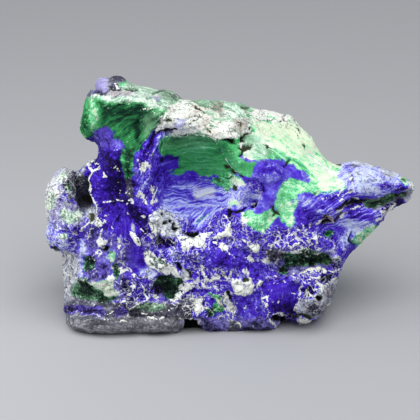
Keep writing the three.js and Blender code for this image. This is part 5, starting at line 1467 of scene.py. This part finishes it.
    bump = shader.nodes.new("ShaderNodeBump")
    bump.inputs["Strength"].default_value = 0.6
    bump.inputs["Distance"].default_value = 0.16 * MM
    level = shader.math("MULTIPLY_ADD", feathered, 1.2, medium)
    level = shader.math("MULTIPLY_ADD", fine, 0.5, level)
    level = shader.math("MULTIPLY_ADD", veined, 0.35, level)
    level = shader.math("MULTIPLY", level, shader.math("MULTIPLY_ADD", natural, 0.97, 0.03))
    shader.put(bump.inputs["Height"], level)
    shader.put(shader.surface.inputs["Normal"], bump.outputs["Normal"])
    return shader.material


# Making the stone


def baked(piece):
    """The piece's mesh with its modifiers worked in."""
    graph = bpy.context.evaluated_depsgraph_get()
    mesh = bpy.data.meshes.new_from_object(piece.evaluated_get(graph))
    piece.modifiers.clear()
    piece.data = mesh
    return mesh


# How readily faces join into bigger ones: on the front, where the stone faces away from the board,
# and inside a flat cut.

JOIN_FRONT = 0.05
JOIN_BEHIND = 0.4
JOIN_CUT = 1.0


def in_a_cut(points):
    """Where points lie on the flat base or the flat back."""
    low, high = CAD_BOX
    return (points[:, 2] < low[2] + CUT_REACH) | (points[:, 1] > high[1] - CUT_REACH)


def fine_copy(name, look):
    """A copy of the solid with small, even faces, fewer behind and fewest where it is cut flat."""
    piece = bpy.data.objects.new(name, SOLID.data.copy())
    bpy.context.scene.collection.objects.link(piece)
    remesh = piece.modifiers.new("Fine mesh", "REMESH")
    remesh.mode = "VOXEL"
    remesh.voxel_size = look.voxel
    mesh = baked(piece)
    surface = Surface(mesh)
    flat = in_a_cut(surface.points).astype(float)
    inner = surface.even(flat, 8) > 0.999
    turned = surface.even(surface.normals() @ np.array(BOARD_OUT), 8) < -0.1
    plain = piece.vertex_groups.new(name="plain")
    for chosen, weight in ((~turned, JOIN_FRONT), (turned, JOIN_BEHIND), (inner, JOIN_CUT)):
        plain.add(np.flatnonzero(chosen).tolist(), weight, "REPLACE")
    fewer = piece.modifiers.new("Fewer faces", "DECIMATE")
    fewer.vertex_group = plain.name
    fewer.ratio = min(1, look.most_faces / sum(len(face.vertices) - 2 for face in mesh.polygons))
    mesh = baked(piece)
    piece.vertex_groups.clear()
    mesh.name = name
    return piece


def store(mesh, name, columns):
    """Stores three numbers for each vertex."""
    layer = mesh.attributes.new(name, "FLOAT_VECTOR", "POINT")
    layer.data.foreach_set("vector", np.stack(columns, axis=1).astype(np.float32).ravel())


def crystal_pattern(mm):
    """The crests between wide grains, all crests, a number for each wide grain, and how near the
    middle of a small round grain a place is."""
    bent = mm + 0.5 * np.stack([waves(mm, 1.6, 15), waves(mm, 1.6, 16), waves(mm, 1.6, 17)], axis=1)
    _, wide_gap, wide_kind = grains(bent, 2.5, 1)
    _, small_gap, _ = grains(bent, 1.15, 2)
    round_grain, _, _ = grains(bent, 0.95, 3)
    wide_crest = 1 - np.clip(wide_gap / 0.5, 0, 1)
    small_crest = 1 - np.clip(small_gap / 0.6, 0, 1)
    return wide_crest, np.maximum(wide_crest, 0.75 * small_crest), wide_kind, round_grain


def minerals_behind(mm):
    """The share of each mineral, how pale it is and how stained, where the stone faces away."""
    veil = waves(mm, 5, 22)
    shares = np.zeros((5, len(mm)))
    shares[AZURITE] = blend(-0.1, 0.15, waves(mm, 9, 21))
    shares[MALACHITE] = (1 - shares[AZURITE]) * blend(-0.2, 0.1, veil)
    shares[SLATE] = 1 - shares[AZURITE] - shares[MALACHITE]
    return shares, 0.5 + 0.3 * veil, 0.2 * blend(0, 0.4, veil)


def make_stone(look):
    """The fine surface: its relief first, then what is painted on it."""
    low, high = (np.array(corner) for corner in CAD_BOX)
    piece = fine_copy("stone_surface", look)
    surface = Surface(piece.data)
    start = surface.points.copy()
    sawn = in_a_cut(start)
    surface.points = surface.even(start, look.smoothing)
    surface.points[sawn] = start[sawn]
    surface.write()

    points = surface.points
    normals = surface.normals()
    facing = surface.even(normals @ np.array(BOARD_OUT), 8)
    front = blend(-0.3, 0.0, facing)
    mm = points / MM
    x, y = on_board(points)
    x = x + 1.8 * waves(mm, 2.6, 11) + 1.1 * waves(mm, 1.1, 13)
    y = y + 1.8 * waves(mm, 2.6, 12) + 1.1 * waves(mm, 1.1, 14)

    wide_crest, crest, wide_kind, round_grain = crystal_pattern(mm)
    clump = waves(mm, 2.1, 18) + 0.5 * waves(mm, 0.9, 19)

    net, grain, ridge, rough = (front * (column - other) + other
                                for column, other in zip(painted(GROUND, x, y).T, GROUND_BEHIND))
    fibre = fibre_places(points, x, y)
    threads = creases(fibre * np.array([1, 0.14, 0.25]), 1.0, 5)
    level = net * (crest + 0.5 * wide_crest - 0.5 - 0.7 * (1 - crest) * wide_kind)
    level += grain * (1.6 * round_grain - 0.9)
    level += ridge * (threads - 0.2)
    level += rough * (0.7 * creases(mm, 2.9, 6) + 0.45 * creases(mm, 1.3, 7) - 0.35)
    level += (0.2 * rough + 0.02) * waves(mm, 0.62, 8)
    level -= front * sum(depth * blend(-soft, soft, shape(x, y)) for depth, soft, shape in PITS)
    inland = surface.even((~sawn).astype(float), 6)
    level *= blend(0.5, 1.0, inland) * ~sawn
    points += normals * (level * MM)[:, None]
    np.clip(points, low, high, out=points)
    surface.write()

    shares, pale, milk = painted_minerals(x, y)
    behind, pale_behind, stain_behind = minerals_behind(mm)
    shares = front * shares + (1 - front) * behind
    pale = front * pale + (1 - front) * pale_behind
    milk = milk + 0.02 * blend(0, 0.3, net)
    # The tone is paler on raised places and darker in pits and hollows as the relief goes: painted light and
    # painted shade.
    pale = pale + 0.13 * clump * blend(0, 0.2, net + rough) + 0.3 * np.clip(level, -0.5, 0.3)
    pale += 0.2 * net * (wide_kind - 0.5)
    lace = front * painted(LACE, x, y) + (1 - front) * 0.3
    streak = front * painted(STREAKS, x, y) + (1 - front) * 0.3
    stain = front * painted(STAIN, x, y) + (1 - front) * stain_behind
    dull = front * painted(DULL, x, y) + (1 - front) * 0.3

    white = share_of(shares[CREAM], 1 - shares[DARK_AND_SHADE])
    white *= (0.6 + 0.4 * milk) * (1 - 0.16 * blend(0.1, 0.35, net))
    web = np.clip(net / 0.4, 0, 1) * (crest - 0.62)
    white += web * np.where(web > 0, 0.45, 0.8) + 0.25 * clump * (white > 0.02)
    white += front * 0.25 * lace * blend(0.55, 0.95, wide_crest)
    under = shares[AZURITE] + shares[SLATE]
    store(piece.data, "minerals", [share_of(shares[MALACHITE], under + shares[MALACHITE]),
                                   white, shares[DARK_AND_SHADE]])
    store(piece.data, "looks", [share_of(shares[SLATE], under), pale, milk])
    store(piece.data, "marks", [streak, stain, dull])
    grit = np.clip(1.0 * net + 1.5 * rough + grain, 0, 1)
    cut = points[:, 1] > high[1] - CUT_REACH
    store(piece.data, "cover", [lace, grit, cut])
    store(piece.data, "fibre", list(fibre.T))
    piece.data.shade_smooth()
    piece.data.materials.clear()
    piece.data.materials.append(stone_material(look))
    return piece


class OBJECT_OT_stone(bpy.types.Operator):
    """Make the stone's fine surface over its solid"""

    bl_idname = "object.slice_stone"
    bl_label = "Stone"

    def execute(self, context):
        piece = make_stone(context.scene.stone_look)
        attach(piece, "root")
        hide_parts("stone")
        return {"FINISHED"}


class OBJECT_OT_stage(bpy.types.Operator):
    """Make the floor, the lights and the camera"""

    bl_idname = "object.slice_stage"
    bl_label = "Floor, lights and camera"

    def execute(self, context):
        stage = context.scene.stone_stage
        make_floor(stage)
        make_lights(stage)
        make_camera()
        return {"FINISHED"}


def make_floor(stage):
    """A plain pale floor."""
    half = stage.floor_size / 2
    mesh = bpy.data.meshes.new("floor")
    corners = [(-half, -half, 0), (half, -half, 0), (half, half, 0), (-half, half, 0)]
    mesh.from_pydata(corners, [], [(0, 1, 2, 3)])
    floor = bpy.data.objects.new("floor", mesh)
    bpy.context.scene.collection.objects.link(floor)
    shader = Shader("floor_paper")
    place = shader.nodes.new("ShaderNodeTexCoord").outputs["Object"]
    cloud = shader.math("ADD", shader.noise(place, 6, 2, 0.5), 0.5)
    shade = between(stage.floor_color, (0, 0, 0), 0.05)
    shader.put(shader.surface.inputs["Base Color"], shader.mix(cloud, stage.floor_color, shade))
    shader.surface.inputs["Roughness"].default_value = 0.7
    mesh.materials.append(shader.material)


def area_light(name, place, size, power):
    """A soft square light that faces the stone."""
    light = bpy.data.lights.new(name, "AREA")
    light.size = size
    light.energy = power
    holder = bpy.data.objects.new(name, light)
    holder.location = place
    aim = Vector((0, 0, 0.02)) - Vector(place)
    holder.rotation_euler = aim.to_track_quat("-Z", "Y").to_euler()
    bpy.context.scene.collection.objects.link(holder)


def make_lights(stage):
    """A key light from the upper right, a fill from the left, a small low light on the left, and a
    pale surround."""
    area_light("key", (0.1, -0.24, 0.56), 0.5, stage.key_power)
    area_light("fill", (-0.45, -0.3, 0.3), 0.5, stage.fill_power)
    area_light("floor_glow", (-0.13, -0.03, 0.12), 0.12, stage.glow_power)
    world = bpy.data.worlds.new("studio")
    bpy.context.scene.world = world
    world.use_nodes = True
    background = world.node_tree.nodes["Background"]
    background.inputs["Color"].default_value = (0.62, 0.64, 0.68, 1)
    background.inputs["Strength"].default_value = 0.55
    bpy.context.scene.view_settings.view_transform = "Standard"


def make_camera():
    """The camera at the eye, square to the board."""
    lens = bpy.data.cameras.new("camera")
    lens.sensor_width = 36
    lens.lens = lens.sensor_width * EYE_AWAY / (BOARD_SQUARES * SQUARE)
    lens.clip_start = 0.01
    camera = bpy.data.objects.new("camera", lens)
    camera.location = EYE
    camera.rotation_euler = (math.radians(90) - TILT, 0, 0)
    bpy.context.scene.collection.objects.link(camera)
    bpy.context.scene.camera = camera


class VIEW3D_PT_stone(bpy.types.Panel):
    """The stone's settings and steps"""

    bl_idname = "VIEW3D_PT_slice_stone"
    bl_label = "Azurite-malachite slice"
    bl_space_type = "VIEW_3D"
    bl_region_type = "UI"
    bl_category = "Stone"

    def draw(self, context):
        for settings in (context.scene.stone_look, context.scene.stone_stage):
            for name in settings.bl_rna.properties.keys():
                if name not in {"rna_type", "name"}:
                    self.layout.prop(settings, name)
        for operator in (OBJECT_OT_stone, OBJECT_OT_stage):
            self.layout.operator(operator.bl_idname)


CLASSES = (StoneSettings, StageSettings, OBJECT_OT_stone, OBJECT_OT_stage, VIEW3D_PT_stone)


def register():
    for cls in CLASSES:
        bpy.utils.register_class(cls)
    bpy.types.Scene.stone_look = PointerProperty(type=StoneSettings)
    bpy.types.Scene.stone_stage = PointerProperty(type=StageSettings)


def unregister():
    del bpy.types.Scene.stone_stage
    del bpy.types.Scene.stone_look
    for cls in reversed(CLASSES):
        bpy.utils.unregister_class(cls)


def main():
    register()
    bpy.ops.object.slice_stone()
    bpy.ops.object.slice_stage()
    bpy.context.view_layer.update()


if __name__ == "__main__":
    main()
